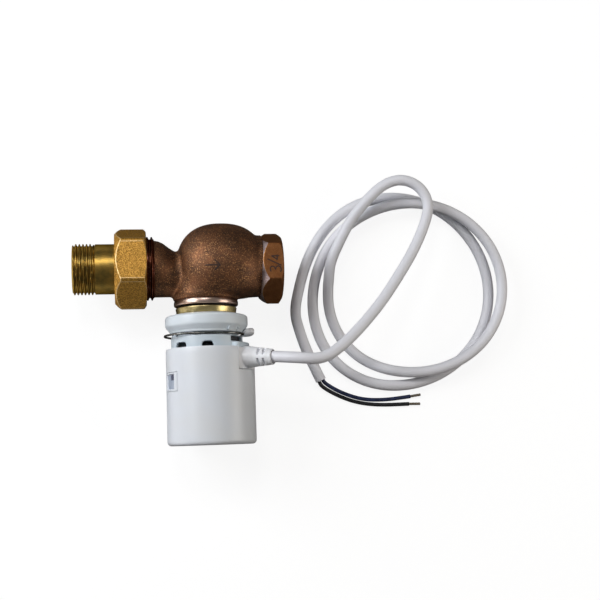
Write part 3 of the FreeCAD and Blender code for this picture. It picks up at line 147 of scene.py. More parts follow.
class Shell:
    """Collects grids of points as four-sided faces with numbered finishes, and makes one object of them."""

    def __init__(self):
        self.points, self.faces, self.finishes, self.count = [], [], [], 0

    def add(self, points, faces, finish=0):
        """Adds points and the faces between them."""
        self.points.append(points.reshape(-1, 3))
        self.faces.append(faces.reshape(-1, 4) + self.count)
        self.finishes.append(np.full(faces.size // 4, finish, np.int32))
        self.count += points.size // 3

    def grid(self, points, finish=0, ring=True, loop=False, keep=None, flip=False):
        """Adds a grid: ring joins the last column to the first, loop the last row to the first."""
        index = np.arange(points.shape[0] * points.shape[1]).reshape(points.shape[:2])
        here, after = index, np.roll(index, -1, 0)
        if not loop:
            here, after = here[:-1], after[:-1]
        corners = [here, np.roll(here, -1, 1), np.roll(after, -1, 1), after]
        if not ring:
            corners = [corner[:, :-1] for corner in corners]
        faces = np.stack(corners[::-1] if flip else corners, -1)
        if keep is not None:
            faces = faces[keep]
        self.add(points, faces, finish)

    def turned(self, axes, along, radius, angle, finish=0, inward=False, **how):
        """Adds a grid round an axis, which faces away from it unless it is inward."""
        self.grid(axes.points(along, radius, angle), finish, flip=axes.left_handed != inward, **how)

    def build(self, name, finishes, edge, *place):
        """Makes the mesh object, smooth but for edges sharper than edge degrees, in place of its nodes."""
        places = to_frame(np.concatenate(self.points)).astype(np.float32)
        faces = np.concatenate(self.faces).astype(np.int32)
        mesh = bpy.data.meshes.new(name)
        mesh.vertices.add(len(places))
        mesh.vertices.foreach_set("co", places.ravel())
        mesh.loops.add(faces.size)
        mesh.loops.foreach_set("vertex_index", faces.ravel())
        mesh.polygons.add(len(faces))
        mesh.polygons.foreach_set("loop_start", np.arange(0, faces.size, 4, dtype=np.int32))
        mesh.polygons.foreach_set("material_index", np.concatenate(self.finishes))
        mesh.polygons.foreach_set("use_smooth", np.ones(len(faces), bool))
        mesh.update(calc_edges=True)
        mesh.validate()
        mesh.set_sharp_from_angle(angle=math.radians(edge))
        for finish in finishes:
            mesh.materials.append(FINISHES[finish])
        return place_piece(link(name, mesh), *place)


def rounded(corners):
    """A closed outline from corners (along, radius, rounding), with each rounding tangent to both sides."""
    places = np.array([corner[:2] for corner in corners], float)
    outline = []
    for index, corner in enumerate(corners):
        here, before, after = places[index], places[index - 1], places[(index + 1) % len(corners)]
        into, out = here - before, after - here
        long_in, long_out = np.hypot(*into), np.hypot(*out)
        reach = min(corner[2], 0.45 * long_in, 0.45 * long_out)
        if reach <= 0:
            outline.append(here[None])
            continue
        share = np.linspace(0, 1, 5)[:, None]
        start, end = here - into / long_in * reach, here + out / long_out * reach
        outline.append((1 - share) ** 2 * start + 2 * share * (1 - share) * here + share**2 * end)
    return np.concatenate(outline)


def around(columns):
    """Evenly spaced angles of a full turn."""
    return np.arange(columns) * TURN / columns


def column(*values):
    """Values one above the other, one for each row of a grid."""
    return np.array(values)[:, None]


def lathe(shell, axes, corners):
    """Turns a closed outline round an axis; the outline runs along the axis on its outer side."""
    outline = rounded(corners)
    shell.turned(axes, outline[:, :1], outline[:, 1:2], around(192)[None], loop=True)


def helix(along, angle, start, end, crest, depth, pitch):
    """Radius of a rounded screw thread: it falls from the crest by depth once per pitch.

    It fades in at both ends. With an angle of zero all round it is a row of rings, for a thread whose mate
    turns on it in place.
    """
    turn = (along / pitch - angle / TURN) % 1
    rise = ramp(np.abs(turn - 0.5) * 2, 0.2, 0.8)
    ease = ramp(along, start - 0.1, start + pitch * 0.7) * (1 - ramp(along, end - pitch * 0.7, end + 0.1))
    return crest - depth + depth * rise * ease


def hexagon(angle, flats, turn, hardness):
    """Distance from the axis to a hexagon's sides; the soft least of the six rounds its corners."""
    facing = np.radians(turn + 30 + 60 * np.arange(6))
    # A side is far away from a direction that hardly faces it, so 0.4 does for the smallest cosine
    away = np.maximum(np.cos(angle[..., None] - facing), 0.4)
    return -np.log(np.exp(-hardness * (flats / 2 / away - flats / 2)).sum(-1)) / hardness + flats / 2


def surface(field, low, high, step):
    """The surface where a field of signed distances is zero.

    Space is cut into cells. Each cell that the surface passes gets one point, the mean of where the surface
    crosses the cell's edges, and each crossed edge gets a face between the four cells round it. The points
    then slide along the field's slope onto the surface.
    """
    lines = [np.arange(a, b + step, step) for a, b in zip(low, high)]
    nodes = np.stack(np.meshgrid(*lines, indexing="ij"), -1)
    value = field(nodes[..., 0], nodes[..., 1], nodes[..., 2])
    cells = tuple(n - 1 for n in value.shape)
    total, count = np.zeros(cells + (3,)), np.zeros(cells, np.int32)
    crossings = []
    for axis in range(3):
        start = np.take(value, np.arange(value.shape[axis] - 1), axis)
        end = np.take(value, np.arange(1, value.shape[axis]), axis)
        crossed = (start < 0) != (end < 0)
        place = np.take(nodes, np.arange(value.shape[axis] - 1), axis)
        place[..., axis] += np.where(crossed, start / np.where(crossed, start - end, 1), 0) * step
        crossings.append((crossed, start < 0))
        others = [other for other in range(3) if other != axis]
        for shift in np.ndindex(2, 2):
            window = [slice(None)] * 3
            for other, offset in zip(others, shift):
                window[other] = slice(offset, offset + cells[other])
            window = tuple(window)
            total += np.where(crossed[window][..., None], place[window], 0)
            count += crossed[window]
    active = count > 0
    number = np.full(cells, -1, np.int64)
    number[active] = np.arange(active.sum())
    points = total[active] / count[active][:, None]
    faces = []
    for axis, (crossed, inward) in enumerate(crossings):
        spots = np.argwhere(crossed)
        first, second = (axis + 1) % 3, (axis + 2) % 3
        inner = (spots[:, first] > 0) & (spots[:, second] > 0)
        inner &= (spots[:, first] < cells[first]) & (spots[:, second] < cells[second])
        spots = spots[inner]
        corners = []
        for back_first, back_second in ((1, 1), (0, 1), (0, 0), (1, 0)):
            cell = spots.copy()
            cell[:, first] -= back_first
            cell[:, second] -= back_second
            corners.append(number[tuple(cell.T)])
        quads = np.stack(corners, -1)
        outward = inward[tuple(spots.T)]
        quads[~outward] = quads[~outward][:, ::-1]
        faces.append(quads)
    faces = np.concatenate(faces)
    faces = faces[(faces >= 0).all(1)]
    reach = step * 0.2
    for _ in range(3):
        here = field(*points.T)
        steps = reach * np.eye(3)
        slope = [field(*(points + away).T) - field(*(points - away).T) for away in steps]
        slope = np.stack(slope, -1) / (2 * reach)
        steepness = np.maximum((slope**2).sum(-1, keepdims=True), 0.2)
        points -= np.clip(here[:, None] * slope / steepness, -step, step)
    return points, faces


def bead(shell, points, outward, width, height, finish):
    """A half-round bead along points on a surface, whose outward directions are given; its ends taper."""
    points, outward = np.asarray(points, float), np.asarray(outward, float)
    along = np.gradient(points, axis=0)
    side = np.cross(along, outward)
    side /= np.linalg.norm(side, axis=1, keepdims=True)
    reach = np.concatenate(([0], np.cumsum(np.linalg.norm(np.diff(points, axis=0), axis=1))))
    to_end = np.minimum(reach, reach[-1] - reach)
    full = np.sqrt(np.clip(to_end / (width / 2), 0.0001, 1))[:, None, None]
    way = np.linspace(0, math.pi, 9)[None, :, None]
    across = full * (np.cos(way) * width / 2 * side[:, None] + (np.sin(way) * height) * outward[:, None])
    shell.grid(points[:, None] + across - 0.03 * outward[:, None], finish, ring=False)


def evenly(corners):
    """Points about 0.2 mm apart along straight lines between corners."""
    corners = np.asarray(corners, float)
    parts = []
    for start, end in zip(corners, corners[1:]):
        count = max(int(np.linalg.norm(end - start) / 0.2), 2)
        parts.append(start + (end - start) * np.linspace(0, 1, count, endpoint=False)[:, None])
    return np.concatenate(parts + [corners[-1:]])


def link(name, data):
    """An object of the scene that shows some data."""
    thing = bpy.data.objects.new(name, data)
    bpy.context.scene.collection.objects.link(thing)
    return thing


def place_piece(thing, body, slot, *nodes):
    """Lets a piece ride on its body in place of its nodes."""
    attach(thing, body)
    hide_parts(*nodes)
    return thing


# Finishes


def linear(text):
    """A colour given as six sRGB hexadecimal digits, as linear values."""
    values = [int(text[at : at + 2], 16) / 255 for at in (0, 2, 4)]
    return tuple(v / 12.92 if v <= 0.04045 else ((v + 0.055) / 1.055) ** 2.4 for v in values) + (1.0,)


def add_node(tree, kind, inputs=(), **settings):
    """Adds a node with its settings; each of its inputs is a value or another node's output."""
    node = tree.nodes.new("ShaderNode" + kind)
    for name, value in settings.items():
        setattr(node, name, value)
    for socket, value in dict(inputs).items():
        if isinstance(value, bpy.types.NodeSocket):
            tree.links.new(value, node.inputs[socket])
        else:
            node.inputs[socket].default_value = value
    return node


# The inputs that map a value from a low and a high to two other values
RANGE = ("Value", "From Min", "From Max", "To Min", "To Max")


class Finish:
    """A material made of nodes, with textures in the object's own coordinates and sizes in millimetres."""

    def __init__(self, name, colour, metallic=0.0, roughness=0.5, **sockets):
        self.material = bpy.data.materials.new(name)
        self.material.use_nodes = True
        self.tree = self.material.node_tree
        self.shader = self.tree.nodes["Principled BSDF"]
        self.place = add_node(self.tree, "TexCoord").outputs["Object"]
        values = {"Base_Color": linear(colour) if isinstance(colour, str) else (*colour, 1)}
        values.update(Metallic=metallic, Roughness=roughness, **sockets)
        if metallic > 0.5:
            # Dulls what the metal mirrors at a glance along it
            values["Specular_Tint"] = (0.4, 0.36, 0.32, 1)
        for socket, value in values.items():
            self.shader.inputs[socket.replace("_", " ")].default_value = value

    def noise(self, size, detail=3.0, stretch=(1, 1, 1), reach=None):
        """Noise whose blots are about size millimetres, longer where stretch is under 1.

        A reach gives a low and a high of the noise, and the two values that they are mapped to.
        """
        scaled = add_node(self.tree, "VectorMath", {0: self.place, 1: stretch}, operation="MULTIPLY")
        inputs = {"Vector": scaled.outputs[0], "Scale": 1 / (size * MM), "Detail": detail}
        value = add_node(self.tree, "TexNoise", inputs).outputs["Fac"]
        if reach:
            value = add_node(self.tree, "MapRange", zip(RANGE, (value, *reach))).outputs["Result"]
        return value

    def tint(self, colour, share, low, high, size, detail=3.0):
        """Mixes in up to a share of a colour, as noise of a size goes from low to high."""
        base = self.shader.inputs["Base Color"]
        so_far = base.links[0].from_socket if base.links else tuple(base.default_value)
        amount = self.noise(size, detail, reach=(low, high, 0.0, share))
        inputs = {"A": so_far, "B": linear(colour), "Factor": amount}
        self.tree.links.new(add_node(self.tree, "Mix", inputs, data_type="RGBA").outputs["Result"], base)
        return self

    def rough(self, low, high, size):
        """Roughness from low to high, in blots of a size."""
        self.tree.links.new(self.noise(size, reach=(0.3, 0.7, low, high)), self.shader.inputs["Roughness"])
        return self

    def bump(self, height, *noise):
        """Relief of so many millimetres, from noise of a size, detail and stretch."""
        inputs = {"Distance": height * MM, "Strength": 1.0, "Height": self.noise(*noise)}
        relief = add_node(self.tree, "Bump", inputs)
        self.tree.links.new(relief.outputs["Normal"], self.shader.inputs["Normal"])
        return self


# How tool marks stretch: fine along the axis that the piece was turned on, and long round it
PIPE_MARKS, TAIL_MARKS, SPINDLE_MARKS = (3.0, 0.3, 0.3), (3.0, 0.2, 0.2), (0.2, 3.0, 0.2)


def make_finishes(colours):
    """All finishes of the valve, by name."""
    made = {}

    # Sand-cast bronze, brown from the foundry, with a grain of bright specks; its coat gives the pale sheen
    coat = {"Coat_Weight": 0.4, "Coat_IOR": 1.6, "Coat_Roughness": 0.5}
    cast = made["cast"] = Finish("bronze_as_cast", colours.bronze, 0.95, 0.46, **coat)
    cast.tint("4E3018", 1.0, 0.35, 0.65, 7.0).tint("C08A58", 0.85, 0.55, 0.66, 0.55)
    cast.tint("2C1A0E", 0.6, 0.40, 0.30, 0.9, 2.0).rough(0.42, 0.6, 1.6).bump(0.22, 0.55)
    cast.tree.links.new(cast.shader.inputs["Normal"].links[0].from_socket, cast.shader.inputs["Coat Normal"])

    # Bronze where the caster's hexagon was trimmed
    trimmed = made["trimmed"] = Finish("bronze_trimmed", colours.bronze, 0.85, 0.42)
    trimmed.tint("8A5C38", 0.6, 0.35, 0.7, 3.0).tint("A8764C", 0.5, 0.56, 0.70, 0.5).bump(0.08, 0.6, 2.0)

    # The hexagon's turned shoulder: turned bronze, lightened to a silvery grey that is partly a painted
    # reflection of the light at the left
    shoulder = made["shoulder"] = Finish("bronze_shoulder_painted_sheen", "B4A4A4", 1.0, 0.36)
    shoulder.tint("7A5C4C", 0.6, 0.45, 0.65, 0.6).bump(0.02, 0.3, 1.0, PIPE_MARKS)

    # Red-brown thread of the spigot, still with the casting's skin
    spigot = made["spigot"] = Finish("bronze_thread", "5A3020", 1.0, 0.3)
    spigot.tint("B08A80", 0.6, 0.55, 0.75, 0.8, 2.0).bump(0.02, 0.25, 1.0, PIPE_MARKS)

    # Machined bronze of threads, bores and end faces
    machined = made["machined"] = Finish("bronze_machined", "8A6038", 1.0, 0.3)
    machined.tint("6A4628", 0.5, 0.45, 0.7, 1.2, 2.0).bump(0.01, 0.25, 1.0, PIPE_MARKS)

    # Hot-pressed brass of the union nut, coarse and dull, and a paler copy of it for painted highlights along
    # its edges
    for name, colour, grain in (("pressed", colours.nut, 0.8), ("edge_highlight", "E0C088", 0.35)):
        pressed = made[name] = Finish("brass_" + name, colour, 0.9, 0.45)
        pressed.tint("7C5C28", grain, 0.44, 0.58, 0.6).tint("D8A850", grain, 0.56, 0.68, 1.1, 2.0)
        pressed.rough(0.36, 0.6, 0.8).bump(0.16, 0.6)

    # Turned brass of the tailpiece, dulled to olive in places
    turned = made["turned"] = Finish("brass_turned", colours.tail, 1.0, 0.34)
    turned.tint("6E6238", 0.7, 0.42, 0.7, 4.0).bump(0.012, 0.3, 1.0, TAIL_MARKS)

    # Lighter brass of the bonnet under its collar
    pale = made["pale"] = Finish("brass_pale", "D0BE88", 1.0, 0.32)
    pale.tint("8E7C50", 0.5, 0.45, 0.75, 3.0).bump(0.012, 0.3, 1.0, SPINDLE_MARKS)

    # Nickel-washed brass of the bonnet's collar
    washed = made["washed"] = Finish("brass_washed", "C4ACA0", 1.0, 0.3)
    washed.tint("C8A070", 0.4, 0.5, 0.75, 5.0).bump(0.003, 0.3, 1.0, SPINDLE_MARKS)

    # White polyamide of the actuator, its ring and its cable boot, with the faint unevenness of a moulding
    # Painted shade: the base's grey-blue is the ring's bluer plastic, darkened for the shade under the ring's
    # overhang
    tones = {"white": colours.moulding, "ring": colours.ring, "base": "C6D2DB", "boot": colours.boot}
    for name, colour in tones.items():
        white = made[name] = Finish(name + "_moulding", colour, 0.0, 0.34)
        white.tint("E2E0DA", 0.25, 0.4, 0.8, 14.0, 1.0).rough(0.30, 0.38, 3.0).bump(0.008, 0.35, 2.0)

    # Clear moulding of the indicator window, seen against the white behind it
    lens = made["lens"] = Finish("clear_lens", "A4AEC0", 0.0, 0.12)
    lens.tint("B4BDCB", 1.0, 0.35, 0.7, 4.0, 1.0).rough(0.08, 0.16, 2.0)

    # White PVC of the cord's jacket
    jacket = made["jacket"] = Finish("white_pvc_jacket", colours.cord, 0.0, 0.42)
    jacket.tint("DCDCE0", 0.3, 0.45, 0.75, 18.0, 1.0).bump(0.012, 0.8, 2.0)

    # Small and inner pieces: colour, second colour, metallic, roughness, size of the blots and relief
    plain = {
        "core_blue": ("1B2340", "2A3458", 0.0, 0.35, 2.5, 0.01),
        "core_black": ("141414", "24242A", 0.0, 0.38, 2.5, 0.01),
        "tinned": ("8F7F66", "B4AFA8", 1.0, 0.35, 0.4, 0.02),
        "wire": ("7C7C78", "62625F", 1.0, 0.26, 1.5, 0.006),
        "steel": ("A6A6A6", "8E9094", 1.0, 0.3, 2.0, 0.008),
        "grey": ("6E6F72", "5E6064", 0.0, 0.5, 0.8, 0.02),
        "black": ("17171A", "26262A", 0.0, 0.45, 1.0, 0.01),
        "rubber": ("151515", "222222", 0.0, 0.65, 0.7, 0.02),
        "ceramic": ("8C8C88", "9A9A94", 0.0, 0.6, 0.5, 0.02),
        "ink": ("43465A", "585C70", 0.0, 0.5, 0.8, 0.005),
        # Painted shade: dark bronze on the marks' beads, standing for the shade in stamped and cut strokes
        "stamp_shade": ("24140B", "3A2413", 0.0, 0.75, 0.6, 0.03),
    }
    for name, (colour, other, metallic, roughness, size, relief) in plain.items():
        finish = made[name] = Finish(name + "_finish", colour, metallic, roughness)
        finish.tint(other, 1.0, 0.4, 0.65, size).bump(relief, size)
    return {name: finish.material for name, finish in made.items()}


FINISHES = {}

# Which finish each kind of inner node gets, by the record's material slot
SLOT_FINISH = {
    "cast_bronze": "cast", "nut_brass": "pressed", "yellow_brass": "turned", "steel": "steel",
    "spring_steel": "wire", "white_plastic": "white", "grey_plastic": "grey", "black_plastic": "black",
    "clear_lens": "lens", "black_rubber": "rubber", "ceramic_grey": "ceramic", "cord_white": "jacket",
    "core_blue": "core_blue", "core_black": "core_black", "tinned_copper": "tinned",
}


# Settings


class CameraSettings(bpy.types.PropertyGroup):
    """Where the picture is taken from."""

    place: FloatVectorProperty(
        name="Place",
        description="The camera's place in the part's frame",
        default=(-0.02469, -0.05992, 0.61959),
        subtype="TRANSLATION",
        unit="LENGTH",
    )
    right: FloatVectorProperty(
        name="Right",
        description="The picture's direction to the right",
        default=(0.98919, -0.03458, 0.14252),
        subtype="DIRECTION",
    )
    up: FloatVectorProperty(
        name="Up",
        description="The picture's direction upwards",
        default=(0.01596, 0.99141, 0.12978),
        subtype="DIRECTION",
    )
    lens: FloatProperty(name="Lens", description="Focal length in millimetres on a 36 mm frame", default=69.0)


class CordSettings(bpy.types.PropertyGroup):
    """The cord from the actuator to its stripped end."""

    diameter: FloatProperty(
        name="Diameter", description="Over the jacket", default=0.0058, unit="LENGTH", precision=4
    )
    length: FloatProperty(
        name="Length", description="Real length of the jacket, end to end", default=0.929, unit="LENGTH"
    )
    core_diameter: FloatProperty(
        name="Core", description="Diameter of a core", default=0.0021, unit="LENGTH", precision=4
    )
    tip_diameter: FloatProperty(
        name="Tip", description="Diameter of a tinned end", default=0.0014, unit="LENGTH", precision=4
    )
    points_per_turn: IntProperty(name="Points", description="Route points in a turn of the coil", default=24)


def colour_choice(name, text):
    """A colour that the user can change, given as six sRGB hexadecimal digits."""
    return FloatVectorProperty(name=name, subtype="COLOR", size=3, min=0, max=1, default=linear(text)[:3])


class ColourSettings(bpy.types.PropertyGroup):
    """Main colours."""

    bronze: colour_choice("Cast bronze", "74492A")
    nut: colour_choice("Union nut", "C29246")
    tail: colour_choice("Tailpiece", "B08E46")
    moulding: colour_choice("Housing", "E2E6EC")
    ring: colour_choice("Coupling ring", "DFE8EF")
    # Whiter than the housing: partly the boot's own whiter moulding, partly painted light on the button, which
    # the ring shades
    boot: colour_choice("Cable boot and button", "F3F4F8")
    cord: colour_choice("Cord", "EAEAF0")


class StageSettings(bpy.types.PropertyGroup):
    """Light and table."""

    key: FloatProperty(name="Key", description="Power of the large lamp at the left, in watts", default=8.6)
    top: FloatProperty(name="Top", description="Power of the lamp overhead, in watts", default=2.1)
    side: FloatProperty(name="Side", description="Power of the warm lamp at the right, in watts", default=2.9)
    low: FloatProperty(name="Low", description="Power of the low lamp at the left, in watts", default=1.7)
    sky: FloatProperty(name="Sky", description="Brightness of the white above", default=0.045)
    horizon: FloatProperty(name="Horizon", description="Brightness of the room round it", default=0.006)


SETTINGS = {
    "valve_camera": CameraSettings,
    "valve_cord": CordSettings,
    "valve_colours": ColourSettings,
    "valve_stage": StageSettings,
}


# Cord

# Route of the free stretch in millimetres in the part's frame, from inside the boot's mouth to the coil
LEAD_ROUTE = (
    (43.9, -14.0, 39.7), (47.4, -14.3, 41.7), (58.6, -15.6, 48.1), (71.5, -16.6, 46.4), (83.5, -8.6, 41.4),
    (95.0, 2.0, 36.0), (107.2, 15.2, 30.4), (118.2, 30.0, 26.0), (127.6, 44.0, 23.0), (135.2, 59.6, 21.0),
    (137.4, 69.6, 20.2), (132.6, 79.0, 20.0), (122.8, 83.1, 19.8), (112.6, 80.2, 18.8), (103.0, 71.4, 17.0),
    (94.8, 61.6, 13.6), (89.2, 51.4, 11.4),
)
# Route of the tail, from the coil to the end of the jacket
TAIL_ROUTE = ((66.4, 1.0), (70.2, -10.4), (76.9, -24.9))
COIL_PLACE = (115.4, 20.1)
COIL_START, COIL_END = 172.0, 892.0
COIL_RADIUS, COIL_GROWTH = 46.4, 4.1
# How a turn differs from a circle: waves per turn, then the cosine and sine parts, each with its change
COIL_WAVES = ((1, 16.7, -7.1, 4.2, -1.8), (2, 4.2, -3.0, 2.1, 0.0), (3, 0.6, 0.0, 0.7, -0.7))
# How high the jacket's and the cores' middles lie on the table, and how far a turn rises over another
CORD_REST, CORE_REST, HUMP = 2.92, 1.07, 6.5
CORE_ROUTES = {
    "core_blue": ((85.9, -30.6), (93.6, -33.9), (100.8, -35.8), (108.5, -36.3), (117, -36), (126.5, -34.8)),
    "core_black": ((84.8, -32.6), (92.8, -36.1), (100.2, -38), (108, -38.9), (116.5, -39.1), (125.6, -38.9)),
}
TIP_ENDS = {"core_blue": (132.3, -34.0), "core_black": (131.9, -39.0)}
STRANDS = 7


def coil_points(angle):
    """Centres of the cord at angles of the coil, in degrees.

    Two loose turns: the radius grows with each turn and waves round it, and the first turn lands from the
    lead and then humps over the second, which it crosses twice.
    """
    turn = (angle - COIL_START) / 360
    radius = COIL_RADIUS + COIL_GROWTH * turn
    for repeat, cosine, cosine_change, sine, sine_change in COIL_WAVES:
        wave = np.radians(angle * repeat)
        radius = radius + (cosine + cosine_change * turn) * np.cos(wave)
        radius = radius + (sine + sine_change * turn) * np.sin(wave)
    landing = np.maximum(1 - (angle - COIL_START) / 52, 0)
    hump = ramp(angle, 236, 298) - ramp(angle, 430, 492)
    height = CORD_REST + 3 * landing**2 + HUMP * hump
    way = np.radians(angle)
    return np.stack((COIL_PLACE[0] + radius * np.cos(way), COIL_PLACE[1] + radius * np.sin(way), height), -1)


def unit(vector):
    """A vector of length one."""
    return vector / np.linalg.norm(vector)


def cord_route(points_per_turn):
    """The whole route of the cord: lead, coil and tail, with straight joins along the coil's ends."""
    coil = coil_points(np.linspace(COIL_START, COIL_END, 2 * points_per_turn + 1))
    into, out = (unit(coil_points(at + 0.5) - coil_points(at - 0.5)) for at in (COIL_START, COIL_END))
    tail = np.array([(x, y, CORD_REST) for x, y in TAIL_ROUTE])
    joins = (coil[:1] - into * 14.8, coil[:1] - into * 5.8, coil, coil[-1:] + out * 14.8)
    return np.concatenate((np.array(LEAD_ROUTE), *joins, tail))


def spline(name, points, diameter, finish, steps=8):
    """A round cord along route points in millimetres in the part's frame."""
    curve = bpy.data.curves.new(name, "CURVE")
    curve.dimensions = "3D"
    curve.bevel_depth = diameter / 2
    curve.bevel_resolution = 7
    curve.resolution_u = steps
    curve.use_fill_caps = True
    line = curve.splines.new("NURBS")
    line.points.add(len(points) - 1)
    flat = np.concatenate((np.asarray(points) * MM, np.ones((len(points), 1))), 1)
    line.points.foreach_set("co", flat.ravel())
    line.order_u = 3
    line.use_endpoint_u = True
    curve.materials.append(FINISHES[finish])
    return link(name, curve)


def strands(name, start, end, diameter):
    """A tinned end: twisted strands round a line, each a thin tube along a helix, and a core between them."""
    start, end = np.array(start), np.array(end)
    along = unit(end - start)
    side = unit(np.cross(along, (0, 0, 1)))
    up = np.cross(side, along)
    length = np.linalg.norm(end - start)
    strand = diameter / 6
    travel = np.linspace(0, length, 28)[:, None, None]
    angle = around(STRANDS)[None, :, None] + travel * 0.55
    ring = around(10)[None, None, :]
    across = (diameter / 2 - strand) * np.stack((np.cos(angle), np.sin(angle)), -1)
    across = across + strand * 1.12 * np.stack((np.cos(ring), np.sin(ring)), -1)
    places = start + travel[..., None] * along + across[..., :1] * side + across[..., 1:] * up - CENTRE
    shell = Shell()
    for number in range(STRANDS):
        shell.grid(places[:, number])
    core = np.array([0, 0.001, length - 0.1, length])
    axes = Axes(start - CENTRE, along, side, up)
    radii = np.array([0, 1, 1, 0])[:, None] * diameter * 0.36
    shell.grid(axes.points(core[:, None], radii, around(12)[None]))
    return shell.build(name, ("tinned",), 34, "actuator", "tinned_copper", "core_tips")


class VALVE_OT_cord(bpy.types.Operator):
    """Lay the cord, its two cores and their tinned ends"""

    bl_idname = "valve.cord"
    bl_label = "Cord"

    def execute(self, context):
        settings = context.scene.valve_cord
        route = cord_route(settings.points_per_turn)
        cord = spline("cord", route, settings.diameter, "jacket")
        place_piece(cord, "actuator", "cord_white", "cord_lead", "cord_coil", "cord_tail")
        end, out = route[-1], unit(route[-1] - route[-2])
        side = unit(np.cross(out, (0, 0, 1)))
        for sign, name in ((-1, "core_blue"), (1, "core_black")):
            start = end + side * sign * (settings.core_diameter / MM / 2 + 0.1)
            points = [start - out * 1.5, start, start + out * (2.6 + 0.5 * sign) - np.array((0, 0, 0.3))]
            points += [np.array((x, y, CORE_REST)) for x, y in CORE_ROUTES[name]]
            core = spline(name + "_insulation", points, settings.core_diameter, name)
            place_piece(core, "actuator", name, name)
            tip_end = (*TIP_ENDS[name], CORE_REST)
            strands(name + "_tip", points[-1], tip_end, settings.tip_diameter / MM)
        return {"FINISHED"}


# Camera


class VALVE_OT_camera(bpy.types.Operator):
    """Set up the camera"""

    bl_idname = "valve.camera"
    bl_label = "Camera"

    def execute(self, context):
        settings = context.scene.valve_camera
        right, up = Vector(settings.right).normalized(), Vector(settings.up).normalized()
        camera = bpy.data.cameras.new("camera")
        camera.lens = settings.lens
        camera.sensor_width = 36
        camera.clip_start = 0.01
        camera.clip_end = 20
        thing = link("camera", camera)
        turn = Matrix((right, up, right.cross(up))).transposed().to_4x4()
        thing.matrix_world = Matrix.Translation(settings.place) @ turn
        context.scene.camera = thing
        return {"FINISHED"}


# Valve body

# Radii of the bores and of the hexagon's socket, and pitches of the union's and the pipe's threads
BORE, SOCKET, UNION_PITCH, PIPE_PITCH = 9.6, 13.3, 2.309, 1.814
# The globe: its middle along the pipe, its radius, and how square its outline is, where 2 is a ball
GLOBE_AT, GLOBE_RADIUS, GLOBE_POWER = 8.3, 23.4, 2.37
# Along the pipe: where the waist and the neck start, and a place past the hexagon's end
WAIST_FROM, NECK_FROM, PAST_END = -26.6, 4.0, 41.0
# How deep the belly is cut flat, and how deep the boss under it reaches
BELLY, BOSS_TO = 15.3, 17.2
# The partition under the seat: where its plate lies, and half the thickness of the plate and of its legs
PLATE_AT, PLATE_HALF = 2.0, 1.5
# The hexagon end: width across its flats, its turn about the pipe, and how far it lies below the pipe's axis
HEX_FLATS, HEX_TURN, HEX_DROP = 33.2, -5.5, 0.6
# The hexagon's shoulder: where it starts along the pipe, its radius there, and how steeply its cone rises
CONE_AT, CONE_RADIUS, CONE_RISE = 28.6, 16.2, 0.855
# Strokes of the thread size in millimetres on the near flat: along the pipe from its right edge, and up it
THREE = ((5.2, -6.0), (5.7, -5.0), (5.6, -3.6), (4.7, -3.0), (3.6, -3.3), (3.0, -4.7))
THREE += ((2.5, -3.3), (1.4, -2.8), (0.3, -3.5), (0.0, -5.0), (0.6, -6.2))
THREAD_SIZE = (THREE, ((-0.4, -2.7), (7.2, 1.0)), ((0.5, 2.5), (4.8, 2.5), (1.9, 0.5), (1.9, 3.4)))
# A plain flow arrow on the globe
ARROW = (((-1.8, -1.9), (6.0, -1.9)), ((3.2, 0.9), (6.0, -1.9), (3.2, -4.7)))


def cast_outside(x, y, z):
    """Signed distance to the casting's outside.

    A globe, a little squarer than a ball and cut flat under its belly, joins a round neck on the right and a
    dropped waist on the left, whose radius and centre follow the outline; a short boss goes down from it.
    """
    depth, round_pipe = -y, np.hypot(y, z)
    ball = (np.abs(x - GLOBE_AT) ** GLOBE_POWER + round_pipe**GLOBE_POWER) ** (1 / GLOBE_POWER) - GLOBE_RADIUS
    globe = most(ball, depth - BELLY, 4.0)
    # The waist's upper outline rises towards the spigot, and its lower outline stays level
    top = np.interp(x, (WAIST_FROM, -24.0, -21.9, -18.8, -16.0, -13.0), (14.7, 14.1, 13.1, 10.7, 8.9, 8.7))
    bottom = 15.0
    waist = np.hypot(depth - (bottom - top) / 2, z) - (top + bottom) / 2
    waist = most(waist, between(x, WAIST_FROM, 6.0), 0.4)
    neck = most(np.hypot(y - 0.7, z) - 16.3, between(x, NECK_FROM, 29.4), 0.4)
    collar = both(round_pipe - 15.2, between(x, NECK_FROM, 39.0))
    boss = np.hypot(x, z) - np.interp(depth, (15.0, BOSS_TO), (17.4, 16.7))
    boss = most(boss, between(depth, 6.0, BOSS_TO), 0.6)
    return least(least(least(globe, waist, 1.6), either(neck, collar), 1.0), boss, 1.4)


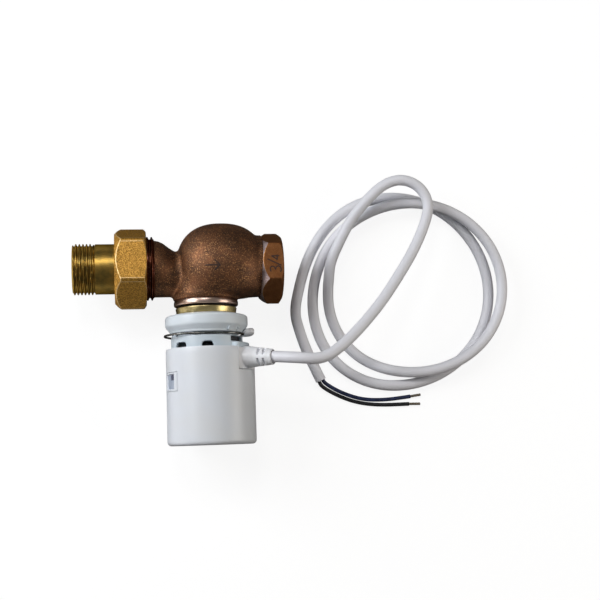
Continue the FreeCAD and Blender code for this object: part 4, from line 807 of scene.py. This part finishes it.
def cast_inside(x, y, z):
    """Signed distance to the water way: a chamber parted by a plate and two legs, with bores to it."""
    depth, round_pipe, round_spindle = -y, np.hypot(y, z), np.hypot(x, z)
    chamber = most(np.sqrt((x - GLOBE_AT) ** 2 + y**2 + z**2) - 19.8, depth - 12.0, 2.0)
    plate = both(slab(x, 2.55, 13.75), slab(y, PLATE_AT, PLATE_HALF))
    left_leg = both(slab(x, -9.7, PLATE_HALF), PLATE_AT - PLATE_HALF - y)
    right_leg = both(slab(x, 14.8, PLATE_HALF), y - PLATE_AT - PLATE_HALF)
    chamber = most(chamber, -either(plate, left_leg, right_leg), 1.0)
    # The left passage drops and narrows from the spigot to the seat
    share = np.clip((x - WAIST_FROM) / 11.1, 0, 1)
    passage = np.hypot(depth - 3.1 * share, z) - (BORE - 1.3 * share)
    passage = both(passage, -28.0 - x, x + np.where(y > PLATE_AT - PLATE_HALF, 11.0, 5.0))
    right_bore = both(round_pipe - BORE, between(x, 15.5, PAST_END))
    socket = both(round_pipe - SOCKET, between(x, 25.1, PAST_END))
    seat = both(round_spindle - 9.0, slab(y, PLATE_AT, 2 * PLATE_HALF))
    bonnet = both(round_spindle - 13.06, between(depth, 9.6, 20.0))
    return either(least(least(chamber, passage, 0.8), right_bore, 0.8), socket, seat, bonnet)


def casting(x, y, z):
    """Signed distance to the casting: its outside without its water way."""
    return most(cast_outside(x, y, z), -cast_inside(x, y, z), 0.4)


class VALVE_OT_body(bpy.types.Operator):
    """Build the cast valve body with its threads"""

    bl_idname = "valve.body"
    bl_label = "Valve body"

    def execute(self, context):
        shell = Shell()
        step = 0.6
        points, faces = surface(casting, (-27.6, -18.4, -24.2), (40.4, 24.2, 24.2), step)
        middle = points[faces].mean(1)
        bored = (np.hypot(middle[:, 1], middle[:, 2]) < 13.6) & (middle[:, 0] > 24)
        shell.add(points, faces[~bored], 0)
        shell.add(points, faces[bored], 2)
        self.hexagon_end(shell)
        self.mark(shell)
        angle, left = around(180)[None], -37.4
        along = np.concatenate((np.arange(left, -26.5, 0.2), (-26.0,)))[:, None]
        outer = helix(along, 0 * angle, left, -26.2, 16.62, 1.35, UNION_PITCH)
        outer = np.minimum(outer, 15.4 + (along - left) * 1.2)
        outer[-1] = BORE
        rows = np.concatenate((np.full((1, 180), BORE), outer))
        shell.turned(PIPE, np.concatenate((along[:1], along)), rows, angle, 4, loop=True)
        along = np.arange(25.2, 39.75, 0.2)[:, None]
        inner = helix(along, angle, 25.2, 39.9, SOCKET, 1.2, PIPE_PITCH)
        inner = np.maximum(inner, 12.2 + (along - 38.4) * 0.9)
        shell.turned(PIPE, along, inner, angle, 2, inward=True)
        finishes = ("cast", "trimmed", "machined", "shoulder", "spigot", "stamp_shade")
        shell.build("valve_body_casting", finishes, 40, "valve", "cast_bronze", "valve_body")
        return {"FINISHED"}

    def hexagon_end(self, shell):
        """A turned shoulder up to where its cone meets the hexagon, a thin strip of machined finish along that
        edge as a painted highlight, and the trimmed flats.
        """
        axes = Axes((0, -HEX_DROP, 0), PIPE.along, PIPE.up, PIPE.side)
        angle = around(360)[None]
        start, chamfer, edge = 28.3, 37.6, 0.14
        sides = hexagon(angle, HEX_FLATS, HEX_TURN, 6.0)
        meet = CONE_AT + (sides - CONE_RADIUS) / CONE_RISE
        share = np.linspace(0, 1, 9)[:, None]
        cone = start + share * (meet - edge - start)
        shoulder = axes.points(cone, CONE_RADIUS + (cone - CONE_AT) * CONE_RISE, angle)
        shell.grid(np.concatenate((PIPE.points(column(start), SOCKET + 0.1, angle), shoulder)), 3)
        flat = meet + edge + share * (chamfer - meet - edge)
        flat = np.concatenate((flat, chamfer + np.linspace(0.15, 2.1, 14)[:, None] + 0 * sides))
        flats = axes.points(flat, least(sides + 0 * flat, 19.0 - (flat - 38.0) * 1.5, 0.25), angle)
        # Painted highlight: a thin strip of machined finish where the shoulder meets the flats
        shell.grid(np.concatenate((shoulder[-1:], flats[:1])), 2)
        shell.grid(flats, 1)
        radii = column(SOCKET + 0.6, SOCKET + 0.05, SOCKET + 0.05)
        end = PIPE.points(column(39.7, 39.7, start), radii, angle)
        shell.grid(np.concatenate((flats[-1:], end)), 2)

    def mark(self, shell):
        """The thread size on the near flat and a plain flow arrow on the globe, as low beads whose dark finish
        is painted shade of stamped and cut strokes.
        """
        facing = math.radians(HEX_TURN + 90)
        outward = np.array((0, math.cos(facing), math.sin(facing)))
        upward = np.array((0, math.sin(facing), -math.cos(facing)))
        for stroke in THREAD_SIZE:
            line = evenly(stroke)
            points = np.array((38.0, -HEX_DROP, 0)) - line[:, :1] * (1, 0, 0) + line[:, 1:] * upward
            points += outward * HEX_FLATS / 2
            bead(shell, points, np.broadcast_to(outward, points.shape), 0.75, 0.07, 5)
        for stroke in ARROW:
            line = evenly(stroke)
            off = np.abs(line[:, 0] - GLOBE_AT)
            round_globe = (GLOBE_RADIUS**GLOBE_POWER - off**GLOBE_POWER) ** (1 / GLOBE_POWER)
            points = np.column_stack((line, np.sqrt(round_globe**2 - line[:, 1] ** 2)))
            bead(shell, points, (points - (GLOBE_AT, 0, 0)) / GLOBE_RADIUS, 0.8, 0.12, 5)


# Union


class VALVE_OT_union(bpy.types.Operator):
    """Build the union nut and the tailpiece"""

    bl_idname = "valve.union"
    bl_label = "Union"

    def execute(self, context):
        self.nut()
        self.tailpiece()
        return {"FINISHED"}

    def nut(self):
        """A hexagon between two cones, with rounded corners, and a thread of rings inside."""
        angle = around(360)[None]
        left, right, turn, corner = -46.81, -30.61, -7.0, 21.94
        along = np.concatenate((np.arange(left, left + 4.2, 0.15), np.arange(left + 4.4, right - 2, 0.5)))
        along = np.concatenate((along, np.arange(right - 1.9, right + 0.01, 0.15), (right,)))[:, None]
        sides = hexagon(angle, 37.8, turn, 2.4)
        left_cone = 18.1 + (along - left) * (corner - 18.1) / 3.6
        right_cone = 19.1 + (right - along) * (corner - 19.1) / 1.5
        outer = least(least(sides, left_cone, 0.3), right_cone, 0.3)
        along_in = np.concatenate((np.arange(right, -37.5, -0.25), (-43.4, -43.4, left)))[:, None]
        inner = helix(along_in, 0 * angle, -37.6, right + 1, 16.8, 1.35, UNION_PITCH)
        inner[-3:] = column(16.7, 13.5, 13.5)
        rows = np.concatenate((outer, inner))
        points = PIPE.points(np.concatenate((along, along_in)), rows, angle)
        # Painted highlights: the paler brass beside the hexagon's rounded corners and where its chamfers meet
        # the flats
        to_corner = np.abs((np.degrees(angle) - turn + 30) % 60 - 30)
        cone = np.minimum(left_cone, right_cone)
        edge_highlight = np.zeros(rows.shape, bool)
        beside_corner = (np.abs(to_corner - 3.2) < 0.7) & (sides < cone)
        edge_highlight[: len(along)] = (np.abs(sides - cone) < 0.28) | beside_corner
        shell = Shell()
        shell.grid(points, 0, loop=True, keep=~edge_highlight)
        shell.grid(points, 1, loop=True, keep=edge_highlight)
        shell.build("union_nut_pressed", ("pressed", "edge_highlight"), 30, "union", "nut_brass", "union_nut")

    def tailpiece(self):
        """A tube with a screw thread on its left, a shoulder behind the thread and a flange in the nut."""
        angle, left = around(180)[None], -68.2
        plain = (-56.95, -56.75, -56.6, -43.4, -43.36, -39.4)
        along = np.concatenate((np.arange(left, -57.0, 0.17), plain))[:, None]
        outer = helix(along - 0.7, angle, -69.3, -57.4, 13.22, 1.16, PIPE_PITCH)
        outer = np.minimum(outer, 12.3 + (along - left) * 1.1)
        outer[-6:] = column(12.3, 12.85, 13.0, 13.0, 14.8, 14.8)
        rows = np.concatenate((outer, np.repeat(column(BORE, BORE, 10.1), 180, 1)))
        shell = Shell()
        shell.turned(PIPE, np.concatenate((along, column(-39.4, -67.7, left))), rows, angle, loop=True)
        shell.build("tailpiece_turned", ("turned",), 30, "valve", "yellow_brass", "tailpiece")


# Bonnet and coupling ring

# Outlines as distance along the spindle, radius and rounding
BONNET_OUTLINE = (
    (BORE, 2.56, 0), (BORE, 13.0, 0.3), (17.2, 13.0, 0), (17.2, 16.3, 0.35), (18.3, 16.7, 0.4),
    (19.9, 16.7, 0.3), (20.3, 16.3, 0.1), (20.3, 13.6, 0), (21.2, 13.6, 0), (21.2, 15.4, 0.1),
    (21.5, 15.9, 0.3), (24.5, 15.4, 0.3), (24.9, 14.2, 0), (30.9, 14.2, 0.3), (30.9, 7.0, 0.3),
    (11.4, 7.0, 0), (11.4, 2.56, 0),
)
RING_OUTLINE = (
    (24.7, 15.5, 0.2), (24.7, 16.5, 0.6), (25.6, 20.4, 0.9), (26.4, 21.4, 0.7), (31.0, 21.4, 0.8),
    (33.6, 19.1, 0.6), (34.7, 18.8, 0.3), (34.7, 15.8, 0.15), (36.4, 15.8, 0.15), (36.6, 16.6, 0.25),
    (38.4, 16.6, 0.4), (38.4, 12.0, 0.3), (31.4, 12.0, 0.3), (31.3, 15.1, 0), (25.6, 15.1, 0.2),
)


class VALVE_OT_bonnet(bpy.types.Operator):
    """Build the bonnet and the coupling ring"""

    bl_idname = "valve.bonnet"
    bl_label = "Bonnet and coupling ring"

    def execute(self, context):
        shell = Shell()
        lathe(shell, SPINDLE, BONNET_OUTLINE)
        # The collar is washed with nickel, and the groove under it is painted black with the rubber finish:
        # painted shade of the deep groove
        middle = shell.points[0][shell.faces[0]].mean(1)
        place, radius = -middle[:, 1], np.hypot(middle[:, 0], middle[:, 2])
        shell.finishes[0][:] = np.where(place < 20.31, 1, np.where((place < 21.21) & (radius < 15), 2, 0))
        along, angle = np.arange(25.0, 30.7, 0.15)[:, None], around(180)[None]
        thread = helix(along, angle, 25.0, 30.6, 15.0, 0.8, 1.5)
        shell.turned(SPINDLE, along, thread, angle)
        shell.build("bonnet_turned", ("pale", "washed", "rubber"), 30, "valve", "yellow_brass", "bonnet")
        shell = Shell()
        lathe(shell, SPINDLE, RING_OUTLINE)
        for turn in (30.5, 50):
            self.nib(shell, math.radians(turn))
        shell.build("coupling_ring_moulded", ("ring",), 40, "ring", "white_plastic", "coupling_ring")
        return {"FINISHED"}

    def nib(self, shell, turn):
        """A small upright rib on the ring's lower slope: half an ellipsoid set on the cone."""
        across, along = np.meshgrid(np.linspace(-1, 1, 13), np.linspace(-1, 1, 17))
        height = np.sqrt(np.clip(1 - across**2 - along**2, 0, 1))
        depth = 33.3 + along * 1.2
        base = np.interp(depth, (31.0, 33.6, 34.6), (21.3, 19.1, 18.8))
        shell.turned(SPINDLE, depth, base - 0.1 + 1.35 * height, turn + across * 0.55 / 19.5, ring=False)


# Wire clip

# One side of the wire's bend, from the button round the sleeve to the middle of its bow
CLIP_BEND = ((19.0, 1.5), (19.45, 2.6), (17.9, 7.0), (15.2, 12.6), (9.5, 16.3), (3, 16.45), (-6, 16.45))
CLIP_BEND += ((-12.8, 15.2), (-17.6, 12.2), (-19.9, 7.6), (-21.6, 4.0), (-21.75, 0.0))
# How deep the wire lies, and the button's middle along the wire's axis
CLIP_DEPTH, BUTTON_AT = 35.6, 21.1


def blunted(wave, power):
    """A sine or cosine with its flanks made steeper, so that a round shape gets squarer."""
    return np.sign(wave) * np.abs(wave) ** power


class VALVE_OT_clip(bpy.types.Operator):
    """Bend the wire clip and set its button"""

    bl_idname = "valve.clip"
    bl_label = "Wire clip"

    def execute(self, context):
        points = [(x, -CLIP_DEPTH, z) for x, z in CLIP_BEND]
        points += [(x, -CLIP_DEPTH, -z) for x, z in CLIP_BEND[-2::-1]]
        wire = spline("clip_wire", np.array(points) + CENTRE, 0.0011, "wire", 12)
        place_piece(wire, "clip", "spring_steel", "wire_clip")
        ring, way = np.meshgrid(around(40), np.linspace(0, math.pi, 25))
        long = 3.5 * blunted(np.cos(way), 0.6)
        wide = np.abs(np.sin(way)) ** 0.5
        up = 2.05 * wide * blunted(np.cos(ring), 0.75)
        deep = 6.2 * wide * blunted(np.sin(ring), 0.7)
        # The inner end follows the ring's underside and slope
        ring_side = np.interp(-up, (-2.05, -0.6, 0.5, 0.7), (20.6, 19.5, 19.15, 17.4))
        across = np.maximum(BUTTON_AT + long, np.sqrt(ring_side**2 - deep**2))
        shell = Shell()
        shell.grid(np.stack((across, -34.3 + up + 0.08 * long, deep), -1), flip=True)
        shell.build("clip_button_moulded", ("boot",), 60, "clip", "white_plastic", "clip_button")
        return {"FINISHED"}


# Actuator base

# The wire's slot in the base: its turn about the spindle, and half its width
SLOT_TURN, SLOT_HALF = math.radians(53.5), 5.0
# The vents: how many, where they start round the spindle and how far apart they are, and their ends along it
VENTS, VENT_START, VENT_STEP, VENT_FROM, VENT_TO = 6, -2.5, -47.5, 39.75, 42.3
# How far the pillars stand from the spindle, and half their width
PILLAR_AT, PILLAR_HALF = 13.5, 2.5


def aside_and_ahead(x, z, angle):
    """How far places lie aside from, and ahead in, a direction at an angle about the spindle."""
    return x * math.cos(angle) - z * math.sin(angle), x * math.sin(angle) + z * math.cos(angle)


def base_openings(x, z, depth):
    """Signed distance to the vents, which widen towards the housing, one more than the others, and the slot."""
    shapes = []
    for number in range(VENTS):
        side, ahead = aside_and_ahead(x, z, math.radians(VENT_START + VENT_STEP * number))
        half = np.interp(depth, (39.7, VENT_TO), (2.3, 3.2)) + (0.8 if number == 1 else 0)
        shapes.append(both(most(np.abs(side) - half, between(depth, VENT_FROM, VENT_TO), 1.0), 16.3 - ahead))
    side, ahead = aside_and_ahead(x, z, SLOT_TURN)
    return either(*shapes, both(np.abs(side) - SLOT_HALF, slab(depth, 38.3, 1.3), 16.2 - ahead))


def base_field(x, y, z):
    """Signed distance to the base: a round wall with a plate, a flange and a gate block, less its windows."""
    depth, spindle, cup = -y, np.hypot(x, z), np.hypot(x - CUP_AT, z)
    wall = both(slab(spindle, 17.7, 0.8), between(depth, 36.6, 45.4))
    plate = both(between(spindle, 9.4, 18.0), slab(depth, 39.15, 0.55))
    flange = both(cup - 21.1, 17.0 - spindle, slab(depth, 44.15, 1.25))
    post = both(slab(spindle, 17.5, 0.6), between(depth, 35.0, 37.0), x + 9.0, np.abs(z) - 6.0)
    across, down, out = GATE.local(x, y, z)
    block = most(np.abs(across) - 7.4, both(17.2 - spindle, cup - 20.5), 1.2)
    block = both(most(block, between(depth, 40.1, 43.0), 0.8), 5.0 - out)
    solid = least(least(least(wall, plate, 0.5), flange, 0.5), either(post, block), 0.4)
    for side in (-PILLAR_AT, PILLAR_AT):
        pillar = both(slab(x, side, PILLAR_HALF), slab(z, 0, PILLAR_HALF), between(depth, 39.5, 47.0))
        solid = either(solid, pillar)
    notch = both(np.abs(across) - 9.7, 19.15 - out, 42.9 - depth)
    return most(solid, -either(base_openings(x, z, depth), notch), 0.3)


class VALVE_OT_base(bpy.types.Operator):
    """Build the actuator's base"""

    bl_idname = "valve.base"
    bl_label = "Actuator base"

    def execute(self, context):
        shell = Shell()
        step = 0.27
        shell.add(*surface(base_field, (-20.4, -47.6, -21.6), (23.2, -34.4, 21.6), step))
        # Painted shade: a black patch behind the slot stands for the dark inside
        turn = SLOT_TURN + np.linspace(-0.31, 0.31, 9)[None]
        shell.turned(SPINDLE, column(36.8, 39.8), 17.0, turn, 1, ring=False)
        finishes = ("base", "black")
        shell.build("actuator_base_moulded", finishes, 50, "actuator", "white_plastic", "actuator_base")
        return {"FINISHED"}


# Housing with its indicator window

HOUSING_RADIUS, HOUSING_INSIDE = 22.9, 21.2
# The housing's open edge along the spindle, the window's opening there, and where the gate's opening ends
RIM, WINDOW_FROM, WINDOW_TO, GATE_TO = 42.7, 54.7, 64.6, 54.5
WINDOW_TURN = math.radians(-67.5)
WINDOW_HALF, GATE_HALF = math.asin(6.5 / HOUSING_RADIUS), math.asin(9.7 / HOUSING_RADIUS)
WINDOW_CUT = (WINDOW_TURN - WINDOW_HALF, WINDOW_TURN + WINDOW_HALF, WINDOW_FROM, WINDOW_TO)
GATE_CUT = (GATE_TURN - GATE_HALF, GATE_TURN + GATE_HALF, RIM, GATE_TO)
# Where the frame round the window's pane starts and ends along the spindle
FRAME_FROM, FRAME_TO = 54.92, 64.38


def spaced(low, high, gap, *marks):
    """Steps of about gap between two numbers, with the marks among them."""
    stops = sorted({low, high, *marks})
    counts = [max(int(math.ceil((after - stop) / gap)), 1) for stop, after in zip(stops, stops[1:])]
    parts = [np.linspace(a, b, count, endpoint=False) for a, b, count in zip(stops, stops[1:], counts)]
    return np.concatenate(parts + [np.array([high])])


class VALVE_OT_housing(bpy.types.Operator):
    """Build the actuator's housing with its indicator window"""

    bl_idname = "valve.housing"
    bl_label = "Housing"

    def execute(self, context):
        angle = spaced(-math.pi, math.pi, 0.035, *WINDOW_CUT[:2], *GATE_CUT[:2])[:-1]
        depth = spaced(RIM, 89.6, 1.6, GATE_TO, WINDOW_FROM, WINDOW_TO)
        shell = Shell()
        # The outside ends in a rounded edge and a sunken middle, and narrows a little at the rim
        curve = np.linspace(0, math.pi / 2, 9)[1:]
        end_depth = np.concatenate((depth, 89.9 + 2.1 * np.sin(curve), (91.95, 91.95)))
        side_radius = HOUSING_RADIUS - ramp(43.3 - depth, 0.0, 0.6) * 0.25
        end_radius = np.concatenate((side_radius, 20.8 + 2.1 * np.cos(curve), (19.0, 0.0)))
        inner_depth = np.concatenate((depth, (90.3, 90.3)))
        inner_radius = np.concatenate((np.full(len(depth) + 1, HOUSING_INSIDE), (0.0,)))
        middle_angle = (angle + np.append(angle[1:], math.pi)) / 2
        for depths, radii, inward in ((end_depth, end_radius, False), (inner_depth, inner_radius, True)):
            middle_depth = (depths[:-1] + depths[1:]) / 2
            keep = np.ones((len(middle_depth), len(middle_angle)), bool)
            for low, high, top, bottom in (WINDOW_CUT, GATE_CUT):
                inside = (middle_angle > low) & (middle_angle < high)
                keep &= ~(inside[None] & ((middle_depth > top) & (middle_depth < bottom))[:, None])
            shell.turned(CUP, depths[:, None], radii[:, None], angle[None], inward=inward, keep=keep)
        keep = ~((middle_angle > GATE_CUT[0]) & (middle_angle < GATE_CUT[1]))[None]
        shell.turned(CUP, column(RIM, RIM), column(HOUSING_INSIDE, side_radius[0]), angle[None], keep=keep)
        # The edges of the two openings
        how = {"inward": True, "ring": False}
        radii = column(HOUSING_INSIDE, HOUSING_RADIUS)
        for low, high, top, bottom in (WINDOW_CUT, GATE_CUT):
            for side in (low, high):
                shell.turned(CUP, np.linspace(top, bottom, 9)[None], radii, np.array(side), **how)
            for end in (bottom, top) if top > RIM else (bottom,):
                shell.turned(CUP, np.array(end), radii, np.linspace(low, high, 17)[None], **how)
        finishes = ("white",)
        shell.build("actuator_housing_moulded", finishes, 34, "actuator", "white_plastic", "actuator_housing")
        self.window()
        return {"FINISHED"}

    def window(self):
        """A frame flush with the housing, round a pane that lies lower and has a dark mark on it."""
        angle = spaced(WINDOW_TURN - WINDOW_HALF + 0.012, WINDOW_TURN + WINDOW_HALF - 0.012, 0.012)
        depth = spaced(FRAME_FROM, FRAME_TO, 0.18)
        across = np.abs(angle - WINDOW_TURN + math.radians(2.7))[None] * HOUSING_RADIUS
        along = np.abs(depth - 59.55)[:, None]
        inside = (1 - ramp(across, 4.6, 4.9)) * (1 - ramp(along, 3.6, 3.9))
        cell = inside[:-1, :-1] > 0.6
        angle, depth = angle[None], depth[:, None]
        shell = Shell()
        for finish, keep in enumerate((~cell, cell)):
            shell.turned(CUP, depth, 22.88 - 0.75 * inside, angle, finish, ring=False, keep=keep)
        shell.turned(CUP, column(FRAME_FROM, FRAME_TO), 21.5, angle, inward=True, ring=False)
        mark_angle = np.linspace(math.radians(-68.5), math.radians(-59.5), 6)[None]
        shell.turned(CUP, np.linspace(56.1, 58.9, 6)[:, None], 22.17, mark_angle, 2, ring=False)
        finishes = ("white", "lens", "ink")
        shell.build("indicator_window", finishes, 34, "actuator", "clear_lens", "indicator_lens")


# Cable boot

# Distances from the cup's axis of the taper's start and end
TAPER_FROM, TAPER_TO = 20.5, 35.6
# The rows of slots: their distances from the cup's axis, half their width, and the radius that they go in to
SLOT_ROWS, ROW_HALF, SLOT_FLOOR = (28.7, 31.6), 0.55, 3.0


def boot_field(x, y, z):
    """Signed distance to the boot: a square plate, a domed root and a taper with two broken rows of slots."""
    across, down, out = GATE.local(x, y, z)
    plate = both(slab(across, -0.1, 8.8), slab(down, 0.65, 5.0), slab(out, 20.05, 0.3)) - 0.5
    # The taper droops a little towards the cord
    down = down - 0.05 * np.maximum(out - TAPER_FROM, 0)
    round_boot = np.hypot(across, down)
    dome = np.sqrt((across / 7.4) ** 2 + (down / 5.3) ** 2 + ((out - 20.6) / 6.6) ** 2)
    dome = both((dome - 1) * 5.0, 20.2 - out)
    radius = np.interp(out, (22.0, 24.5, 33.2, 33.6, TAPER_TO), (5.2, 5.2, 4.3, 4.15, 4.05))
    taper = most(round_boot - radius, between(out, TAPER_FROM, TAPER_TO), 0.6)
    body = least(least(dome, taper, 1.6), plate, 0.8)
    rib = 0.95 - np.abs(np.sin(2 * np.arctan2(down, across))) * round_boot / 2
    rows = either(*(slab(out, row, ROW_HALF) for row in SLOT_ROWS))
    slots = both(rows, rib, SLOT_FLOOR - round_boot)
    mouth = both(round_boot - 3.4, 33.4 - out)
    return most(body, -either(slots, mouth), 0.25)


class VALVE_OT_boot(bpy.types.Operator):
    """Build the cable boot"""

    bl_idname = "valve.boot"
    bl_label = "Cable boot"

    def execute(self, context):
        shell = Shell()
        step = 0.2
        shell.add(*surface(boot_field, (11.0, -55.0, -1.4), (35.4, -41.6, 23.4), step))
        shell.build("cable_boot_moulded", ("boot",), 50, "actuator", "white_plastic", "cable_boot")
        return {"FINISHED"}


# Inner pieces


class VALVE_OT_inside(bpy.types.Operator):
    """Give the inner pieces their finishes"""

    bl_idname = "valve.inside"
    bl_label = "Inner pieces"

    def execute(self, context):
        slots = {part["node"]: part["material_slot"] for part in frame["record"]["subparts"]}
        for name, node in frame["nodes"].items():
            if not node.material_slots:
                node.data.materials.append(None)
            for slot in node.material_slots:
                slot.link = "OBJECT"
                slot.material = FINISHES[SLOT_FINISH[slots[name]]]
        self.press_spring()
        return {"FINISHED"}

    def press_spring(self):
        """Gives the closing spring a mesh of its own."""
        spring = frame["nodes"]["main_spring"]
        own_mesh(spring)


# Stage


def seen(tree, part=0.12):
    """How much of the background a ray sees: all from the camera or through glass, a part when mirrored."""
    rays = add_node(tree, "LightPath").outputs
    inputs = {0: rays["Is Glossy Ray"], 1: part, 2: rays["Is Camera Ray"]}
    mirrored = add_node(tree, "Math", inputs, operation="MULTIPLY_ADD").outputs[0]
    inputs = {0: mirrored, 1: rays["Is Transmission Ray"]}
    return add_node(tree, "Math", inputs, operation="ADD", use_clamp=True).outputs[0]


class VALVE_OT_stage(bpy.types.Operator):
    """Set up the table, the lamps and the white surroundings"""

    bl_idname = "valve.stage"
    bl_label = "Stage"

    def execute(self, context):
        settings = context.scene.valve_stage
        context.scene.view_settings.view_transform = "Standard"
        bpy.ops.mesh.primitive_plane_add(size=12)
        floor = context.object
        floor.name = "table"
        floor.data.materials.append(self.table())
        self.lamp("key", (-0.80, 0.40, 0.58), 0.6, settings.key, (0.94, 0.97, 1.0))
        self.lamp("top", (-0.14, 0.50, 0.84), 0.3, settings.top, (1.0, 0.97, 0.94))
        self.lamp("side", (0.86, -0.10, 0.44), 0.5, settings.side, (1.0, 0.95, 0.87))
        self.lamp("low", (-0.78, -0.42, 0.12), 0.4, settings.low, (1.0, 0.93, 0.92))
        self.surroundings(context.scene, settings)
        return {"FINISHED"}

    def lamp(self, name, place, width, power, colour):
        """A square lamp that looks at the middle of the part."""
        light = bpy.data.lights.new(name, "AREA")
        light.size = width
        light.energy = power
        light.color = colour
        thing = link(name, light)
        thing.location = place
        thing.rotation_euler = (Vector((0.05, 0.0, 0.02)) - Vector(place)).to_track_quat("-Z", "Y").to_euler()

    def table(self):
        """Grey paper that the camera sees lifted to white, with the shadows kept."""
        paper = Finish("table_paper", "747474", 0.0, 0.9).tint("707070", 1.0, 0.3, 0.7, 3.0)
        # Mirrored rays find it glowing at the far left and dim round the valve: a painted reflection, an
        # emission that gives the metals a pale sheen on their lower left
        across = add_node(paper.tree, "SeparateXYZ", {0: paper.place}).outputs["X"]
        part = add_node(paper.tree, "MapRange", zip(RANGE, (across, -0.075, -0.035, 1.0, 0.02)))
        lift = (seen(paper.tree, part.outputs["Result"]), 0, 1, 0.0, 0.88)
        strength = add_node(paper.tree, "MapRange", zip(RANGE, lift)).outputs["Result"]
        paper.shader.inputs["Emission Color"].default_value = (1, 1, 1, 1)
        paper.tree.links.new(strength, paper.shader.inputs["Emission Strength"])
        return paper.material

    def surroundings(self, scene, settings):
        """White to the camera; to everything else a dim room that is lighter above."""
        world = bpy.data.worlds.new("surroundings")
        scene.world = world
        world.use_nodes = True
        tree = world.node_tree
        background = tree.nodes["Background"]
        background.inputs["Color"].default_value = (1, 1, 1, 1)
        place = add_node(tree, "TexCoord").outputs["Generated"]
        up = add_node(tree, "SeparateXYZ", {0: place}).outputs["Z"]
        inputs = zip(RANGE, (up, 0.25, 0.95, settings.horizon, settings.sky))
        height = add_node(tree, "MapRange", inputs, interpolation_type="SMOOTHSTEP")
        choose = add_node(tree, "Mix", {"Factor": seen(tree), "A": height.outputs["Result"], "B": 1.0})
        tree.links.new(choose.outputs["Result"], background.inputs["Strength"])


# Add-on


class VALVE_PT_panel(bpy.types.Panel):
    """Settings and steps of the valve"""

    bl_idname = "VALVE_PT_panel"
    bl_label = "Thermoelectric Valve"
    bl_space_type = "VIEW_3D"
    bl_region_type = "UI"
    bl_category = "Valve"

    def draw(self, context):
        for name, group in SETTINGS.items():
            box = self.layout.box()
            box.label(text=group.__doc__.rstrip("."))
            for prop in group.__annotations__:
                box.prop(getattr(context.scene, name), prop)
        for operator in OPERATORS:
            self.layout.operator(operator.bl_idname)


OPERATORS = (
    VALVE_OT_camera,
    VALVE_OT_cord,
    VALVE_OT_body,
    VALVE_OT_union,
    VALVE_OT_bonnet,
    VALVE_OT_clip,
    VALVE_OT_base,
    VALVE_OT_housing,
    VALVE_OT_boot,
    VALVE_OT_inside,
    VALVE_OT_stage,
)


def register():
    """Makes the settings, steps and panel known to Blender."""
    for group in SETTINGS.values():
        bpy.utils.register_class(group)
    for operator in OPERATORS:
        bpy.utils.register_class(operator)
    bpy.utils.register_class(VALVE_PT_panel)
    for name, group in SETTINGS.items():
        setattr(bpy.types.Scene, name, PointerProperty(type=group))


def unregister():
    """Takes them away again."""
    for name in SETTINGS:
        delattr(bpy.types.Scene, name)
    bpy.utils.unregister_class(VALVE_PT_panel)
    for operator in reversed(OPERATORS):
        bpy.utils.unregister_class(operator)
    for group in reversed(list(SETTINGS.values())):
        bpy.utils.unregister_class(group)


def main():
    """Builds the valve, step by step."""
    register()
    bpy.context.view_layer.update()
    FINISHES.update(make_finishes(bpy.context.scene.valve_colours))
    for operator in OPERATORS:
        group, step = operator.bl_idname.split(".")
        getattr(getattr(bpy.ops, group), step)()


if __name__ == "__main__":
    main()
